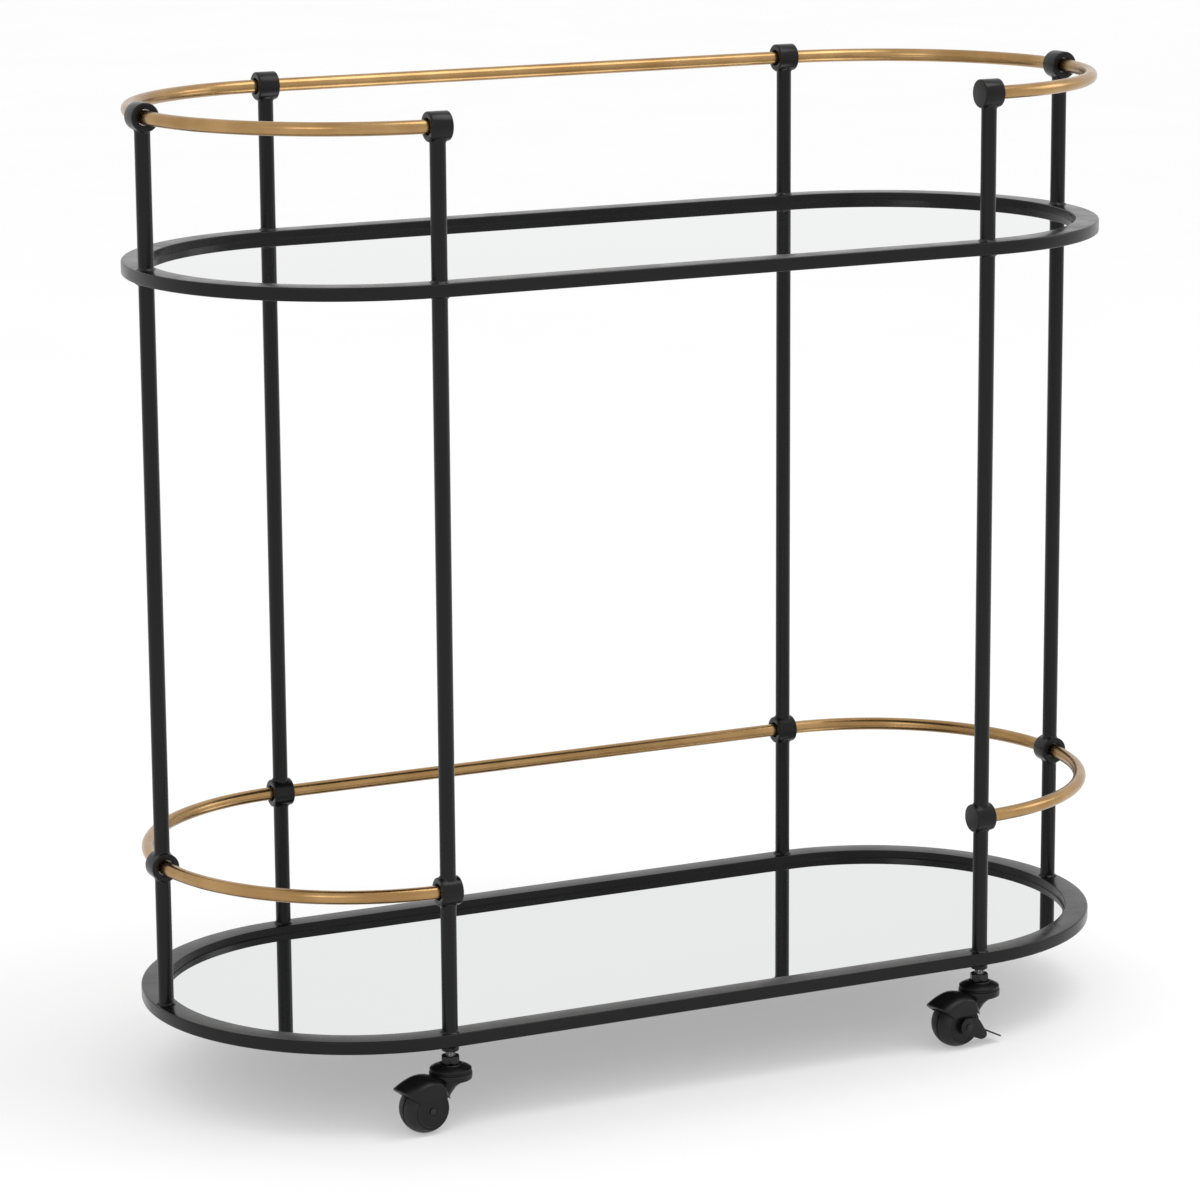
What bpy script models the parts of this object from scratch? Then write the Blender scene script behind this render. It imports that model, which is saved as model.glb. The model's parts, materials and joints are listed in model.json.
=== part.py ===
"""A two-tier bar cart on swivel casters.

Two stadium-shaped shelf frames carry mirror tops on six round posts. A round rail runs round three
sides of each shelf, through short tube collars on the posts, and leaves the front open. Four hooded
twin-wheel casters stand under the corner posts. The front right and back left ones have a brake lever.

The origin is on the floor under the middle of the cart: +X is the long side, -Y the open front and
+Z up. Sizes are in metres.
"""

import math

import bmesh
import bpy
from mathutils import Matrix

MM = 0.001
GAP = 0.3 * MM
OVERSHOOT = 2 * MM
MERGE_DISTANCE = 1e-6
SMOOTH_ANGLE = math.radians(35)

# Plan of the cart, through the post axes: two straight sides and two half circles.
HALF_STRAIGHT = 244 * MM
END_RADIUS = 174 * MM
ARC_STEPS = 20

# Heights above the floor.
LOWER_SHELF_TOP = 78 * MM
UPPER_SHELF_TOP = LOWER_SHELF_TOP + 600 * MM
LOWER_RAIL_HEIGHT = LOWER_SHELF_TOP + 116 * MM
UPPER_RAIL_HEIGHT = LOWER_SHELF_TOP + 720 * MM

# Shelf frame section, measured from the post axes.
FRAME_OUTSIDE = 9 * MM
FRAME_INSIDE = 11 * MM
FRAME_HEIGHT = 10.8 * MM
FRAME_EDGE = 0.7 * MM
LEDGE_WIDTH = 8 * MM
LEDGE_HEIGHT = 1.0 * MM
MIRROR_THICKNESS = 3.0 * MM

# Posts, collars and rails.
POST_RADIUS = 6.35 * MM
POST_SIDES = 16
COLLAR_RADIUS = 11.6 * MM
COLLAR_BORE = 6.6 * MM
COLLAR_LENGTH = 18 * MM
COLLAR_WALL = 2.5 * MM
COLLAR_EDGE = 0.8 * MM
COLLAR_SIDES = 20
RAIL_RADIUS = 5.5 * MM
RAIL_BEVEL_RESOLUTION = 3

# Stub under each corner post, and the stem that screws into it.
STUB_RADIUS = 7.0 * MM
STUB_HEIGHT = 4.4 * MM
SOCKET_RADIUS = 4.3 * MM
SOCKET_DEPTH = 17 * MM
STEM_RADIUS = 4.0 * MM
HEX_RADIUS = 8.0 * MM
HEX_HEIGHT = 6.2 * MM
STEM_SIDES = 12

# Caster, in its own frame: stem axis at X = 0, wheels trailing towards +X, axle along Y.
TRAIL = 25.8 * MM
WHEEL_RADIUS = 20 * MM
WHEEL_HALF_WIDTH = 13 * MM
WHEEL_CURVE_STEPS = 5
WHEEL_SIDES = 24
WHEEL_EDGE = 0.3 * MM
HUB_RECESS_RADIUS = 5.5 * MM
HUB_RECESS = 0.3 * MM
WEB_HALF = 0.5 * MM
WHEEL_GAP_HALF = WEB_HALF + GAP
AXLE_RADIUS = 2.0 * MM
AXLE_BORE = AXLE_RADIUS + GAP
AXLE_HEAD_RADIUS = 2.9 * MM
AXLE_HEAD = 0.8 * MM
AXLE_SIDES = 12
AXLE_BOSS_RADIUS = 4.4 * MM
FLANGE_RADIUS = 17.4 * MM
FLANGE_BOTTOM = 39.7 * MM
FLANGE_TOP = 45.3 * MM
FLANGE_EDGE = 1.2 * MM
FLANGE_SIDES = 24
CAP_RADIUS = 16.8 * MM
CAP_BOTTOM = FLANGE_TOP + GAP
CAP_RIM_HEIGHT = 2.6 * MM
CAP_CROWN_RADIUS = 9 * MM
CAP_TOP = 52.2 * MM
PIN_DEPTH = 6.5 * MM
HOOD_RADIUS = 26 * MM
HOOD_BACK_DROP = 2 * MM
HOOD_BULGE = 20 * MM
HOOD_POWER = 3.0
HOOD_BACK_POWER = 2.0
HOOD_BACK_START = math.radians(112)
HOOD_BACK_END = math.radians(145)
HOOD_HALF_WIDTH = 14.9 * MM
HOOD_CAVITY_RADIUS = 21.4 * MM
HOOD_CAVITY_BULGE = 19.6 * MM
HOOD_CAVITY_HALF = 13.4 * MM
HOOD_ACROSS_STEPS = 8
HOOD_TURN_STEPS = 13
HOOD_LOFT_INSIDE = 6 * MM
HOOD_SKIRT = 29.2 * MM
HOOD_BACK = 9 * MM
HOOD_BACK_ANGLE = math.radians(160)
HOOD_FRONT_ANGLE = math.radians(30)
VISOR_START = math.radians(75)
VISOR_ANGLE = math.radians(39)
VISOR_REACH = 3.0 * MM
VISOR_LIP = [(39.3, 29.2), (45.4, 34.6), (50.6, 42.6)]
NECK_FRONT = 14.5 * MM
NECK_FRONT_HALF_WIDTH = 9 * MM
NECK_ARC_STEPS = 8

# The neck, level by level in millimetres: its back at Y = 0, its height and its half width.
NECK_LEVELS = [
    (3.0, 25.5, 8.0),
    (1.6, 28.2, 8.5),
    (-0.4, 31.0, 9.5),
    (-3.5, 34.5, 10.5),
    (-7.1, 36.8, 12.0),
    (-11.5, 38.8, 14.0),
    (-15.4, 40.0, 15.8),
    (-15.4, 41.7, 15.8),
]
FRONT_CASTER_TURN = math.radians(189.5)
BACK_CASTER_TURN = math.radians(170.5)

# Brake lever, which turns on the axle outside the wheel.
LEVER_INSIDE = HOOD_HALF_WIDTH + GAP
LEVER_THICKNESS = 2.2 * MM
LEVER_HUB_RADIUS = 5.6 * MM
LEVER_HUB_RELIEF = 0.6 * MM
PEDAL_THICKNESS = 1.4 * MM
PEDAL_INSIDE = 4 * MM

POST_PLACES = {
    "front_left": (-HALF_STRAIGHT, -END_RADIUS),
    "front_right": (HALF_STRAIGHT, -END_RADIUS),
    "back_left": (-HALF_STRAIGHT, END_RADIUS),
    "back_right": (HALF_STRAIGHT, END_RADIUS),
    "left": (-HALF_STRAIGHT - END_RADIUS, 0.0),
    "right": (HALF_STRAIGHT + END_RADIUS, 0.0),
}
CASTER_TURNS = {
    "front_left": FRONT_CASTER_TURN,
    "front_right": FRONT_CASTER_TURN,
    "back_left": BACK_CASTER_TURN,
    "back_right": BACK_CASTER_TURN,
}
# The side of the caster, along its own Y, that carries the lever: the one away from the cart.
BRAKE_SIDES = {"front_right": 1, "back_left": -1}

TO_Y_AXIS = Matrix.Rotation(math.radians(-90), 4, "X")
TO_X_AXIS = Matrix.Rotation(math.radians(90), 4, "Y")
UPRIGHT = Matrix.Rotation(math.radians(90), 4, "X")
QUARTER_TURN = Matrix.Rotation(math.radians(-90), 4, "Z")


def clear_scene():
    """Removes every object of the startup scene."""
    for obj in list(bpy.data.objects):
        bpy.data.objects.remove(obj, do_unlink=True)


def new_collection(name):
    """A collection of this name in the scene."""
    collection = bpy.data.collections.new(name)
    bpy.context.scene.collection.children.link(collection)
    return collection


def new_material(name, colour, roughness, metallic):
    """A plain Principled material."""
    material = bpy.data.materials.new(name)
    material.use_nodes = True
    shader = material.node_tree.nodes["Principled BSDF"]
    shader.inputs["Base Color"].default_value = (*colour, 1.0)
    shader.inputs["Roughness"].default_value = roughness
    shader.inputs["Metallic"].default_value = metallic
    material.diffuse_color = (*colour, 1.0)
    return material


clear_scene()
CART = new_collection("bar_cart")
CUTTERS = new_collection("cutters")
CUTTERS.hide_render = True

BLACK_FRAME = new_material("satin_black_frame", (0.022, 0.022, 0.024), 0.42, 0.3)
BRASS = new_material("satin_brass", (0.62, 0.42, 0.19), 0.30, 1.0)
MIRROR = new_material("silver_mirror", (0.9, 0.91, 0.91), 0.03, 1.0)
BACKING = new_material("black_backing", (0.03, 0.03, 0.03), 0.7, 0.0)
BLACK_PLASTIC = new_material("black_nylon", (0.02, 0.02, 0.021), 0.4, 0.0)
BLACK_STEEL = new_material("black_zinc_steel", (0.05, 0.05, 0.052), 0.3, 1.0)


def place(obj, name, material, parent=None):
    """Names a finished piece, dresses it and puts it in the cart's collection."""
    obj.name = name
    obj.data.name = name
    obj.data.materials.clear()
    obj.data.materials.append(material)
    obj.data.shade_smooth()
    obj.data.set_sharp_from_angle(angle=SMOOTH_ANGLE)
    for collection in list(obj.users_collection):
        collection.objects.unlink(obj)
    CART.objects.link(obj)
    obj.hide_render = False
    obj.display_type = "TEXTURED"
    obj.parent = parent
    return obj


def as_mesh(obj):
    """Replaces a curve, or an object with modifiers, by its evaluated mesh with welded seams."""
    bpy.context.view_layer.update()
    graph = bpy.context.evaluated_depsgraph_get()
    mesh = bpy.data.meshes.new_from_object(obj.evaluated_get(graph))
    shape = bmesh.new()
    shape.from_mesh(mesh)
    bmesh.ops.remove_doubles(shape, verts=shape.verts, dist=MERGE_DISTANCE)
    bmesh.ops.recalc_face_normals(shape, faces=shape.faces)
    shape.to_mesh(mesh)
    shape.free()
    made = bpy.data.objects.new(obj.name, mesh)
    made.matrix_world = obj.matrix_world.copy()
    CUTTERS.objects.link(made)
    bpy.data.objects.remove(obj, do_unlink=True)
    made.display_type = "WIRE"
    made.hide_render = True
    return made


def moved(obj, matrix):
    """Moves the mesh itself, and leaves the object's origin where it is."""
    obj.data.transform(matrix)
    return obj


def prism(outlines, bottom, top):
    """A flat outline, with any holes, between two heights."""
    curve = bpy.data.curves.new("outline", "CURVE")
    curve.dimensions = "2D"
    curve.fill_mode = "BOTH"
    curve.extrude = (top - bottom) / 2
    for outline in outlines:
        spline = curve.splines.new("POLY")
        spline.points.add(len(outline) - 1)
        for point, (x, y) in zip(spline.points, outline):
            point.co = (x, y, 0, 1)
        spline.use_cyclic_u = True
    obj = bpy.data.objects.new("outline", curve)
    CUTTERS.objects.link(obj)
    return moved(as_mesh(obj), Matrix.Translation((0, 0, (top + bottom) / 2)))


def side_prism(outline, low_y, high_y):
    """A prism whose outline is in X and Z, between two places along Y."""
    return moved(prism([outline], -high_y, -low_y), UPRIGHT)


def turned(profile, sides):
    """A shape turned about Z from (radius, height) points that run down its outer side."""
    mesh = bpy.data.meshes.new("profile")
    points = [(radius, 0, height) for radius, height in profile]
    closed = profile[0][0] > 0 and profile[-1][0] > 0
    count = len(points)
    edges = [(i, (i + 1) % count) for i in range(count if closed else count - 1)]
    mesh.from_pydata(points, edges, [])
    obj = bpy.data.objects.new("profile", mesh)
    CUTTERS.objects.link(obj)
    screw = obj.modifiers.new("turn", "SCREW")
    screw.steps = sides
    screw.render_steps = sides
    screw.use_merge_vertices = True
    screw.merge_threshold = MERGE_DISTANCE
    screw.use_normal_calculate = True
    return as_mesh(obj)


def cylinder(radius, bottom, top, sides):
    """A plain cylinder about Z, with a corner towards +X."""
    mesh = bpy.data.meshes.new("cylinder")
    shape = bmesh.new()
    bmesh.ops.create_cone(
        shape,
        cap_ends=True,
        segments=sides,
        radius1=radius,
        radius2=radius,
        depth=top - bottom,
        matrix=Matrix.Translation((0, 0, (top + bottom) / 2)) @ QUARTER_TURN,
    )
    shape.to_mesh(mesh)
    shape.free()
    obj = bpy.data.objects.new("cylinder", mesh)
    CUTTERS.objects.link(obj)
    return as_mesh(obj)


def lofted(rings):
    """A closed body through rings of points, which all have the same number of points."""
    count = len(rings[0])
    points = [point for ring in rings for point in ring]
    last = len(points) - count
    faces = [tuple(range(count - 1, -1, -1)), tuple(range(last, last + count))]
    for low in range(0, last, count):
        high = low + count
        for i in range(count):
            after = (i + 1) % count
            faces.append((low + i, low + after, high + after, high + i))
    mesh = bpy.data.meshes.new("loft")
    mesh.from_pydata(points, [], faces)
    obj = bpy.data.objects.new("loft", mesh)
    CUTTERS.objects.link(obj)
    return as_mesh(obj)


def joined(obj, other, operation):
    """Cuts the second shape from the first, or joins it, and removes the second."""
    boolean = obj.modifiers.new(operation.lower(), "BOOLEAN")
    boolean.operation = operation
    boolean.object = other
    boolean.solver = "EXACT"
    made = as_mesh(obj)
    bpy.data.objects.remove(other, do_unlink=True)
    return made


def cut(obj, cutter):
    """The first shape without the second."""
    return joined(obj, cutter, "DIFFERENCE")


def union(obj, other):
    """Both shapes as one body."""
    return joined(obj, other, "UNION")


def common(obj, other):
    """What lies in both shapes."""
    return joined(obj, other, "INTERSECT")


def bevelled(obj, width, segments, angle):
    """Rounds the edges that turn by more than the angle."""
    bevel = obj.modifiers.new("edges", "BEVEL")
    bevel.width = width
    bevel.segments = segments
    bevel.limit_method = "ANGLE"
    bevel.angle_limit = angle
    return as_mesh(obj)


def arc(centre, radius, start, end, steps):
    """Points along an arc, both ends included."""
    turns = [start + (end - start) * i / steps for i in range(steps + 1)]
    return [(centre[0] + radius * math.cos(t), centre[1] + radius * math.sin(t)) for t in turns]


def stadium(offset):
    """The cart's plan, moved outwards by the offset from the post axes."""
    radius = END_RADIUS + offset
    right = arc((HALF_STRAIGHT, 0), radius, -math.pi / 2, math.pi / 2, ARC_STEPS)
    left = arc((-HALF_STRAIGHT, 0), radius, math.pi / 2, 3 * math.pi / 2, ARC_STEPS)
    return right + left


def shelf(level, top):
    """A flat-bar frame with a ledge, the mirror that lies on it and the panel under the mirror."""
    bottom = top - FRAME_HEIGHT
    inner = -FRAME_INSIDE
    ring = bevelled(prism([stadium(FRAME_OUTSIDE)], bottom, top), FRAME_EDGE, 1, math.radians(60))
    ring = cut(ring, prism([stadium(inner)], bottom + LEDGE_HEIGHT, top + OVERSHOOT))
    ring = cut(ring, prism([stadium(inner - LEDGE_WIDTH)], bottom - OVERSHOOT, top + OVERSHOOT))
    for x, y in POST_PLACES.values():
        hole = cylinder(POST_RADIUS + GAP, bottom - OVERSHOOT, top + OVERSHOOT, POST_SIDES)
        ring = cut(ring, moved(hole, Matrix.Translation((x, y, 0))))
    place(ring, f"{level}_shelf_frame", BLACK_FRAME)

    glass_bottom = bottom + LEDGE_HEIGHT + GAP
    glass = prism([stadium(inner - GAP)], glass_bottom, glass_bottom + MIRROR_THICKNESS)
    place(glass, f"{level}_mirror", MIRROR)
    panel = prism([stadium(inner - LEDGE_WIDTH - GAP)], bottom, bottom + LEDGE_HEIGHT)
    place(panel, f"{level}_backing_panel", BACKING)


def rail(level, height):
    """The round rail, open along the front straight, with its ends inside the front collars."""
    reach = HALF_STRAIGHT - COLLAR_LENGTH / 2 + COLLAR_WALL + GAP
    right = arc((HALF_STRAIGHT, 0), END_RADIUS, -math.pi / 2, math.pi / 2, ARC_STEPS)
    left = arc((-HALF_STRAIGHT, 0), END_RADIUS, math.pi / 2, 3 * math.pi / 2, ARC_STEPS)
    path = [(reach, -END_RADIUS)] + right + left + [(-reach, -END_RADIUS)]
    curve = bpy.data.curves.new("rail", "CURVE")
    curve.dimensions = "3D"
    curve.bevel_depth = RAIL_RADIUS
    curve.bevel_resolution = RAIL_BEVEL_RESOLUTION
    curve.use_fill_caps = True
    spline = curve.splines.new("POLY")
    spline.points.add(len(path) - 1)
    for point, (x, y) in zip(spline.points, path):
        point.co = (x, y, height, 1)
    obj = bpy.data.objects.new("rail", curve)
    CUTTERS.objects.link(obj)
    place(as_mesh(obj), f"{level}_rail", BRASS)


def along_rail(corner):
    """The turn that lays a Z axis along the rail where it passes this post."""
    return TO_Y_AXIS if corner in ("left", "right") else TO_X_AXIS


def collar(level, corner, height):
    """A short tube round the rail. At the two front posts the face at the opening is closed."""
    half = COLLAR_LENGTH / 2
    edge = COLLAR_EDGE
    body = turned(
        [
            (0, half),
            (COLLAR_RADIUS - edge, half),
            (COLLAR_RADIUS, half - edge),
            (COLLAR_RADIUS, edge - half),
            (COLLAR_RADIUS - edge, -half),
            (0, -half),
        ],
        COLLAR_SIDES,
    )
    low, high = -half - OVERSHOOT, half + OVERSHOOT
    if corner == "front_left":
        high = half - COLLAR_WALL
    if corner == "front_right":
        low = COLLAR_WALL - half
    body = cut(body, cylinder(COLLAR_BORE, low, high, COLLAR_SIDES))
    x, y = POST_PLACES[corner]
    moved(body, Matrix.Translation((x, y, height)) @ along_rail(corner))
    place(body, f"{level}_collar_{corner}", BLACK_FRAME)


def coped(tube, corner, height):
    """Shapes the end of a post to sit on its collar."""
    x, y = POST_PLACES[corner]
    cutter = cylinder(COLLAR_RADIUS + GAP, -COLLAR_LENGTH, COLLAR_LENGTH, COLLAR_SIDES)
    moved(cutter, Matrix.Translation((x, y, height)) @ along_rail(corner))
    return cut(tube, cutter)


def post(corner):
    """The long post, from the lower collar through the upper frame to the upper collar."""
    x, y = POST_PLACES[corner]
    tube = cylinder(POST_RADIUS, LOWER_RAIL_HEIGHT, UPPER_RAIL_HEIGHT, POST_SIDES)
    moved(tube, Matrix.Translation((x, y, 0)))
    tube = coped(tube, corner, LOWER_RAIL_HEIGHT)
    tube = coped(tube, corner, UPPER_RAIL_HEIGHT)
    place(tube, f"post_{corner}", BLACK_FRAME)


def foot_post(corner):
    """The short post through the lower frame. At a corner it ends in a socket for the stem."""
    x, y = POST_PLACES[corner]
    frame_bottom = LOWER_SHELF_TOP - FRAME_HEIGHT
    if corner in CASTER_TURNS:
        stub_bottom = frame_bottom - STUB_HEIGHT
        tube = turned(
            [
                (0, LOWER_RAIL_HEIGHT),
                (POST_RADIUS, LOWER_RAIL_HEIGHT),
                (POST_RADIUS, frame_bottom - GAP),
                (STUB_RADIUS, frame_bottom - GAP),
                (STUB_RADIUS, stub_bottom),
                (SOCKET_RADIUS, stub_bottom),
                (SOCKET_RADIUS, stub_bottom + SOCKET_DEPTH),
                (0, stub_bottom + SOCKET_DEPTH),
            ],
            POST_SIDES,
        )
    else:
        tube = cylinder(POST_RADIUS, frame_bottom, LOWER_RAIL_HEIGHT, POST_SIDES)
    moved(tube, Matrix.Translation((x, y, 0)))
    place(coped(tube, corner, LOWER_RAIL_HEIGHT), f"foot_post_{corner}", BLACK_FRAME)


def caster_stem():
    """The threaded stem with its hexagon, and the pin below it that the fork turns on."""
    hex_bottom = CAP_TOP + GAP
    hex_top = hex_bottom + HEX_HEIGHT
    stem_top = LOWER_SHELF_TOP - FRAME_HEIGHT - STUB_HEIGHT + SOCKET_DEPTH - OVERSHOOT
    pin_bottom = FLANGE_TOP - PIN_DEPTH + GAP
    rod = cylinder(STEM_RADIUS, pin_bottom, stem_top, STEM_SIDES)
    nut = cylinder(HEX_RADIUS, hex_bottom, hex_top, 6)
    return union(rod, nut)


def swivel_cap():
    """The domed cap that stays with the stem and hides the bearing."""
    bore = STEM_RADIUS + GAP
    rim_top = CAP_BOTTOM + CAP_RIM_HEIGHT
    middle = ((CAP_RADIUS + CAP_CROWN_RADIUS) / 2, (rim_top + CAP_TOP) / 2 + 0.6 * MM)
    profile = [
        (bore, CAP_TOP),
        (CAP_CROWN_RADIUS, CAP_TOP),
        middle,
        (CAP_RADIUS, rim_top),
        (CAP_RADIUS, CAP_BOTTOM),
        (bore, CAP_BOTTOM),
    ]
    return turned(profile, FLANGE_SIDES)


def bulged(radius, bulge, half, power):
    """Points (radius, height) over a ball squashed to the bulge and cut off at each half width."""
    points = []
    for i in range(HOOD_ACROSS_STEPS + 1):
        place_y = half * (1 - 2 * i / HOOD_ACROSS_STEPS)
        points.append((radius * (1 - abs(place_y / bulge) ** power) ** (1 / power), place_y))
    return points


def hood_ring(turn):
    """The hood's section at one turn about the axle: fuller over the top, and swollen at the visor."""
    swell = max(0.0, (VISOR_START - turn) / (VISOR_START - VISOR_ANGLE)) ** 2
    behind = min(1.0, max(0.0, (turn - HOOD_BACK_START) / (HOOD_BACK_END - HOOD_BACK_START)))
    radius = HOOD_RADIUS + VISOR_REACH * swell - HOOD_BACK_DROP * behind
    power = HOOD_POWER + (HOOD_BACK_POWER - HOOD_POWER) * behind
    over = bulged(radius, HOOD_BULGE, HOOD_HALF_WIDTH, power)
    section = over + [(HOOD_LOFT_INSIDE, -HOOD_HALF_WIDTH), (HOOD_LOFT_INSIDE, HOOD_HALF_WIDTH)]
    return [(TRAIL + r * math.cos(turn), y, WHEEL_RADIUS + r * math.sin(turn)) for r, y in section]


def hood():
    """The solid hood: rounded over the wheels, level along the skirt and cut back under the visor."""
    sweep = HOOD_FRONT_ANGLE - HOOD_BACK_ANGLE
    turns = [HOOD_BACK_ANGLE + sweep * i / HOOD_TURN_STEPS for i in range(HOOD_TURN_STEPS + 1)]
    lip = [(x * MM, z * MM) for x, z in VISOR_LIP]
    top = WHEEL_RADIUS + 2 * HOOD_RADIUS
    kept = lip + [(lip[-1][0], top), (HOOD_BACK, top), (HOOD_BACK, HOOD_SKIRT)]
    wide = HOOD_HALF_WIDTH + OVERSHOOT
    return common(lofted([hood_ring(turn) for turn in turns]), side_prism(kept, -wide, wide))


def neck():
    """The neck from behind the wheels up to the flange, round at the back in every plan section."""
    front = [(NECK_FRONT, -NECK_FRONT_HALF_WIDTH), (NECK_FRONT, NECK_FRONT_HALF_WIDTH)]
    rings = []
    for back, height, half in NECK_LEVELS:
        centre = ((back + half) * MM, 0)
        plan = arc(centre, half * MM, math.pi / 2, 3 * math.pi / 2, NECK_ARC_STEPS) + front
        rings.append([(x, y, height * MM) for x, y in plan])
    return lofted(rings)


def web_outline():
    """Side view of the thin plate between the wheels, from the neck and hood down to the axle."""
    points = [(4.2, 33.0), (5.0, 30.0), (23.4, 16.2), (29.6, 18.2), (31.0, 24.0), (30.0, 42.0), (12.0, 39.0)]
    return [(x * MM, z * MM) for x, z in points]


def caster_fork():
    """Flange, neck, hood and web as one moulding, bored for the pin and the axle."""
    fork = turned(
        [
            (0, FLANGE_TOP),
            (FLANGE_RADIUS - FLANGE_EDGE / 2, FLANGE_TOP),
            (FLANGE_RADIUS, FLANGE_TOP - FLANGE_EDGE / 2),
            (FLANGE_RADIUS, FLANGE_BOTTOM + FLANGE_EDGE),
            (FLANGE_RADIUS - FLANGE_EDGE, FLANGE_BOTTOM),
            (0, FLANGE_BOTTOM),
        ],
        FLANGE_SIDES,
    )
    fork = union(union(fork, hood()), neck())
    to_axle = Matrix.Translation((TRAIL, 0, WHEEL_RADIUS)) @ TO_Y_AXIS
    inside = bulged(HOOD_CAVITY_RADIUS, HOOD_CAVITY_BULGE, HOOD_CAVITY_HALF, 2)
    cavity = turned([(0, HOOD_CAVITY_HALF), *inside, (0, -HOOD_CAVITY_HALF)], FLANGE_SIDES)
    fork = cut(fork, moved(cavity, to_axle))
    web = side_prism(web_outline(), -WEB_HALF, WEB_HALF)
    web = union(web, moved(cylinder(AXLE_BOSS_RADIUS, -WEB_HALF, WEB_HALF, AXLE_SIDES), to_axle))
    fork = union(fork, web)
    bore = cylinder(AXLE_BORE, -HOOD_HALF_WIDTH, HOOD_HALF_WIDTH, AXLE_SIDES)
    fork = cut(fork, moved(bore, to_axle))
    pin_hole = cylinder(STEM_RADIUS + GAP, FLANGE_TOP - PIN_DEPTH, FLANGE_TOP + OVERSHOOT, STEM_SIDES)
    return cut(fork, pin_hole)


def wheel(side):
    """One half of the ball-shaped wheel pair, cut off flat at the side."""
    tread = []
    for i in range(WHEEL_CURVE_STEPS + 1):
        y = WHEEL_HALF_WIDTH + (WHEEL_GAP_HALF + WHEEL_EDGE - WHEEL_HALF_WIDTH) * i / WHEEL_CURVE_STEPS
        tread.append((math.sqrt(WHEEL_RADIUS**2 - y**2), y))
    profile = [
        (AXLE_BORE, WHEEL_HALF_WIDTH - HUB_RECESS),
        (HUB_RECESS_RADIUS, WHEEL_HALF_WIDTH - HUB_RECESS),
        (HUB_RECESS_RADIUS + WHEEL_EDGE, WHEEL_HALF_WIDTH),
        *tread,
        (WHEEL_RADIUS - WHEEL_EDGE, WHEEL_GAP_HALF),
        (AXLE_BORE, WHEEL_GAP_HALF),
    ]
    half = turned(profile, WHEEL_SIDES)
    turn = TO_Y_AXIS if side > 0 else TO_Y_AXIS @ Matrix.Rotation(math.pi, 4, "X")
    return moved(half, turn)


def axle(brake_side):
    """The axle with a head at each end, longer where it also carries the brake lever."""
    head_in = WHEEL_HALF_WIDTH - HUB_RECESS + GAP
    lever_head_in = LEVER_INSIDE + LEVER_THICKNESS + LEVER_HUB_RELIEF + GAP
    ends = {side: lever_head_in if side == brake_side else head_in for side in (1, -1)}
    rod = cylinder(AXLE_RADIUS, -ends[-1] - AXLE_HEAD / 2, ends[1] + AXLE_HEAD / 2, AXLE_SIDES)
    for side, place_y in ends.items():
        low, high = sorted((side * place_y, side * (place_y + AXLE_HEAD)))
        rod = union(rod, cylinder(AXLE_HEAD_RADIUS, low, high, AXLE_SIDES))
    return moved(rod, TO_Y_AXIS)


def lever_outline():
    """Side view of the lever arm about the axle: a round hub and an arm that widens outwards."""
    hub = arc((0, 0), 7.4 * MM, math.radians(-75), math.radians(112), 9)
    arm = [(-10.8, 6.2), (-14.4, 1.4), (-17.4, -3.4), (-20.9, -8.6), (-20.3, -11.9), (-17.4, -13.4)]
    arm += [(-13.8, -13.3), (-8.6, -10.8)]
    return hub + [(x * MM, z * MM) for x, z in arm]


def pedal_outline():
    """Side view of the thin pedal, a sloping plate beyond the arm."""
    start = (-18.6 * MM, -6.4 * MM)
    end = (-36.0 * MM, -15.2 * MM)
    slope = math.atan2(end[1] - start[1], end[0] - start[0])
    up_x = -math.sin(slope) * PEDAL_THICKNESS
    up_z = math.cos(slope) * PEDAL_THICKNESS
    return [start, end, (end[0] + up_x, end[1] + up_z), (start[0] + up_x, start[1] + up_z)]


def brake_lever(side):
    """The arm, its hub and the pedal, on the given side of the wheels."""
    outside = LEVER_INSIDE + LEVER_THICKNESS
    hub_inside = WHEEL_HALF_WIDTH + GAP
    hub_outside = outside + LEVER_HUB_RELIEF

    def across(low, high):
        return sorted((side * low, side * high))

    lever = side_prism(lever_outline(), *across(LEVER_INSIDE, outside))
    hub = cylinder(LEVER_HUB_RADIUS, *across(hub_inside, hub_outside), AXLE_SIDES)
    lever = union(lever, moved(hub, TO_Y_AXIS))
    lever = union(lever, side_prism(pedal_outline(), *across(PEDAL_INSIDE, outside - GAP)))
    bore = cylinder(AXLE_BORE, *across(0, hub_outside + OVERSHOOT), AXLE_SIDES)
    return cut(lever, moved(bore, TO_Y_AXIS))


def empty(name, location, turn=0.0, parent=None):
    """An empty that pieces hang from, on a joint's axis."""
    obj = bpy.data.objects.new(name, None)
    obj.location = location
    obj.rotation_euler = (0, 0, turn)
    obj.parent = parent
    CART.objects.link(obj)
    return obj


def caster(corner):
    """A whole caster under one corner post."""
    x, y = POST_PLACES[corner]
    fixed = empty(f"stem_axis_{corner}", (x, y, 0))
    place(caster_stem(), f"caster_stem_{corner}", BLACK_STEEL, fixed)
    place(swivel_cap(), f"swivel_cap_{corner}", BLACK_PLASTIC, fixed)
    swivel = empty(f"swivel_axis_{corner}", (x, y, 0), CASTER_TURNS[corner])
    place(caster_fork(), f"caster_fork_{corner}", BLACK_PLASTIC, swivel)
    centre = empty(f"axle_axis_{corner}", (TRAIL, 0, WHEEL_RADIUS), parent=swivel)
    brake_side = BRAKE_SIDES.get(corner, 0)
    place(axle(brake_side), f"axle_{corner}", BLACK_STEEL, centre)
    place(wheel(1), f"wheel_a_{corner}", BLACK_PLASTIC, centre)
    place(wheel(-1), f"wheel_b_{corner}", BLACK_PLASTIC, centre)
    if brake_side:
        place(brake_lever(brake_side), f"brake_lever_{corner}", BLACK_PLASTIC, centre)


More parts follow.
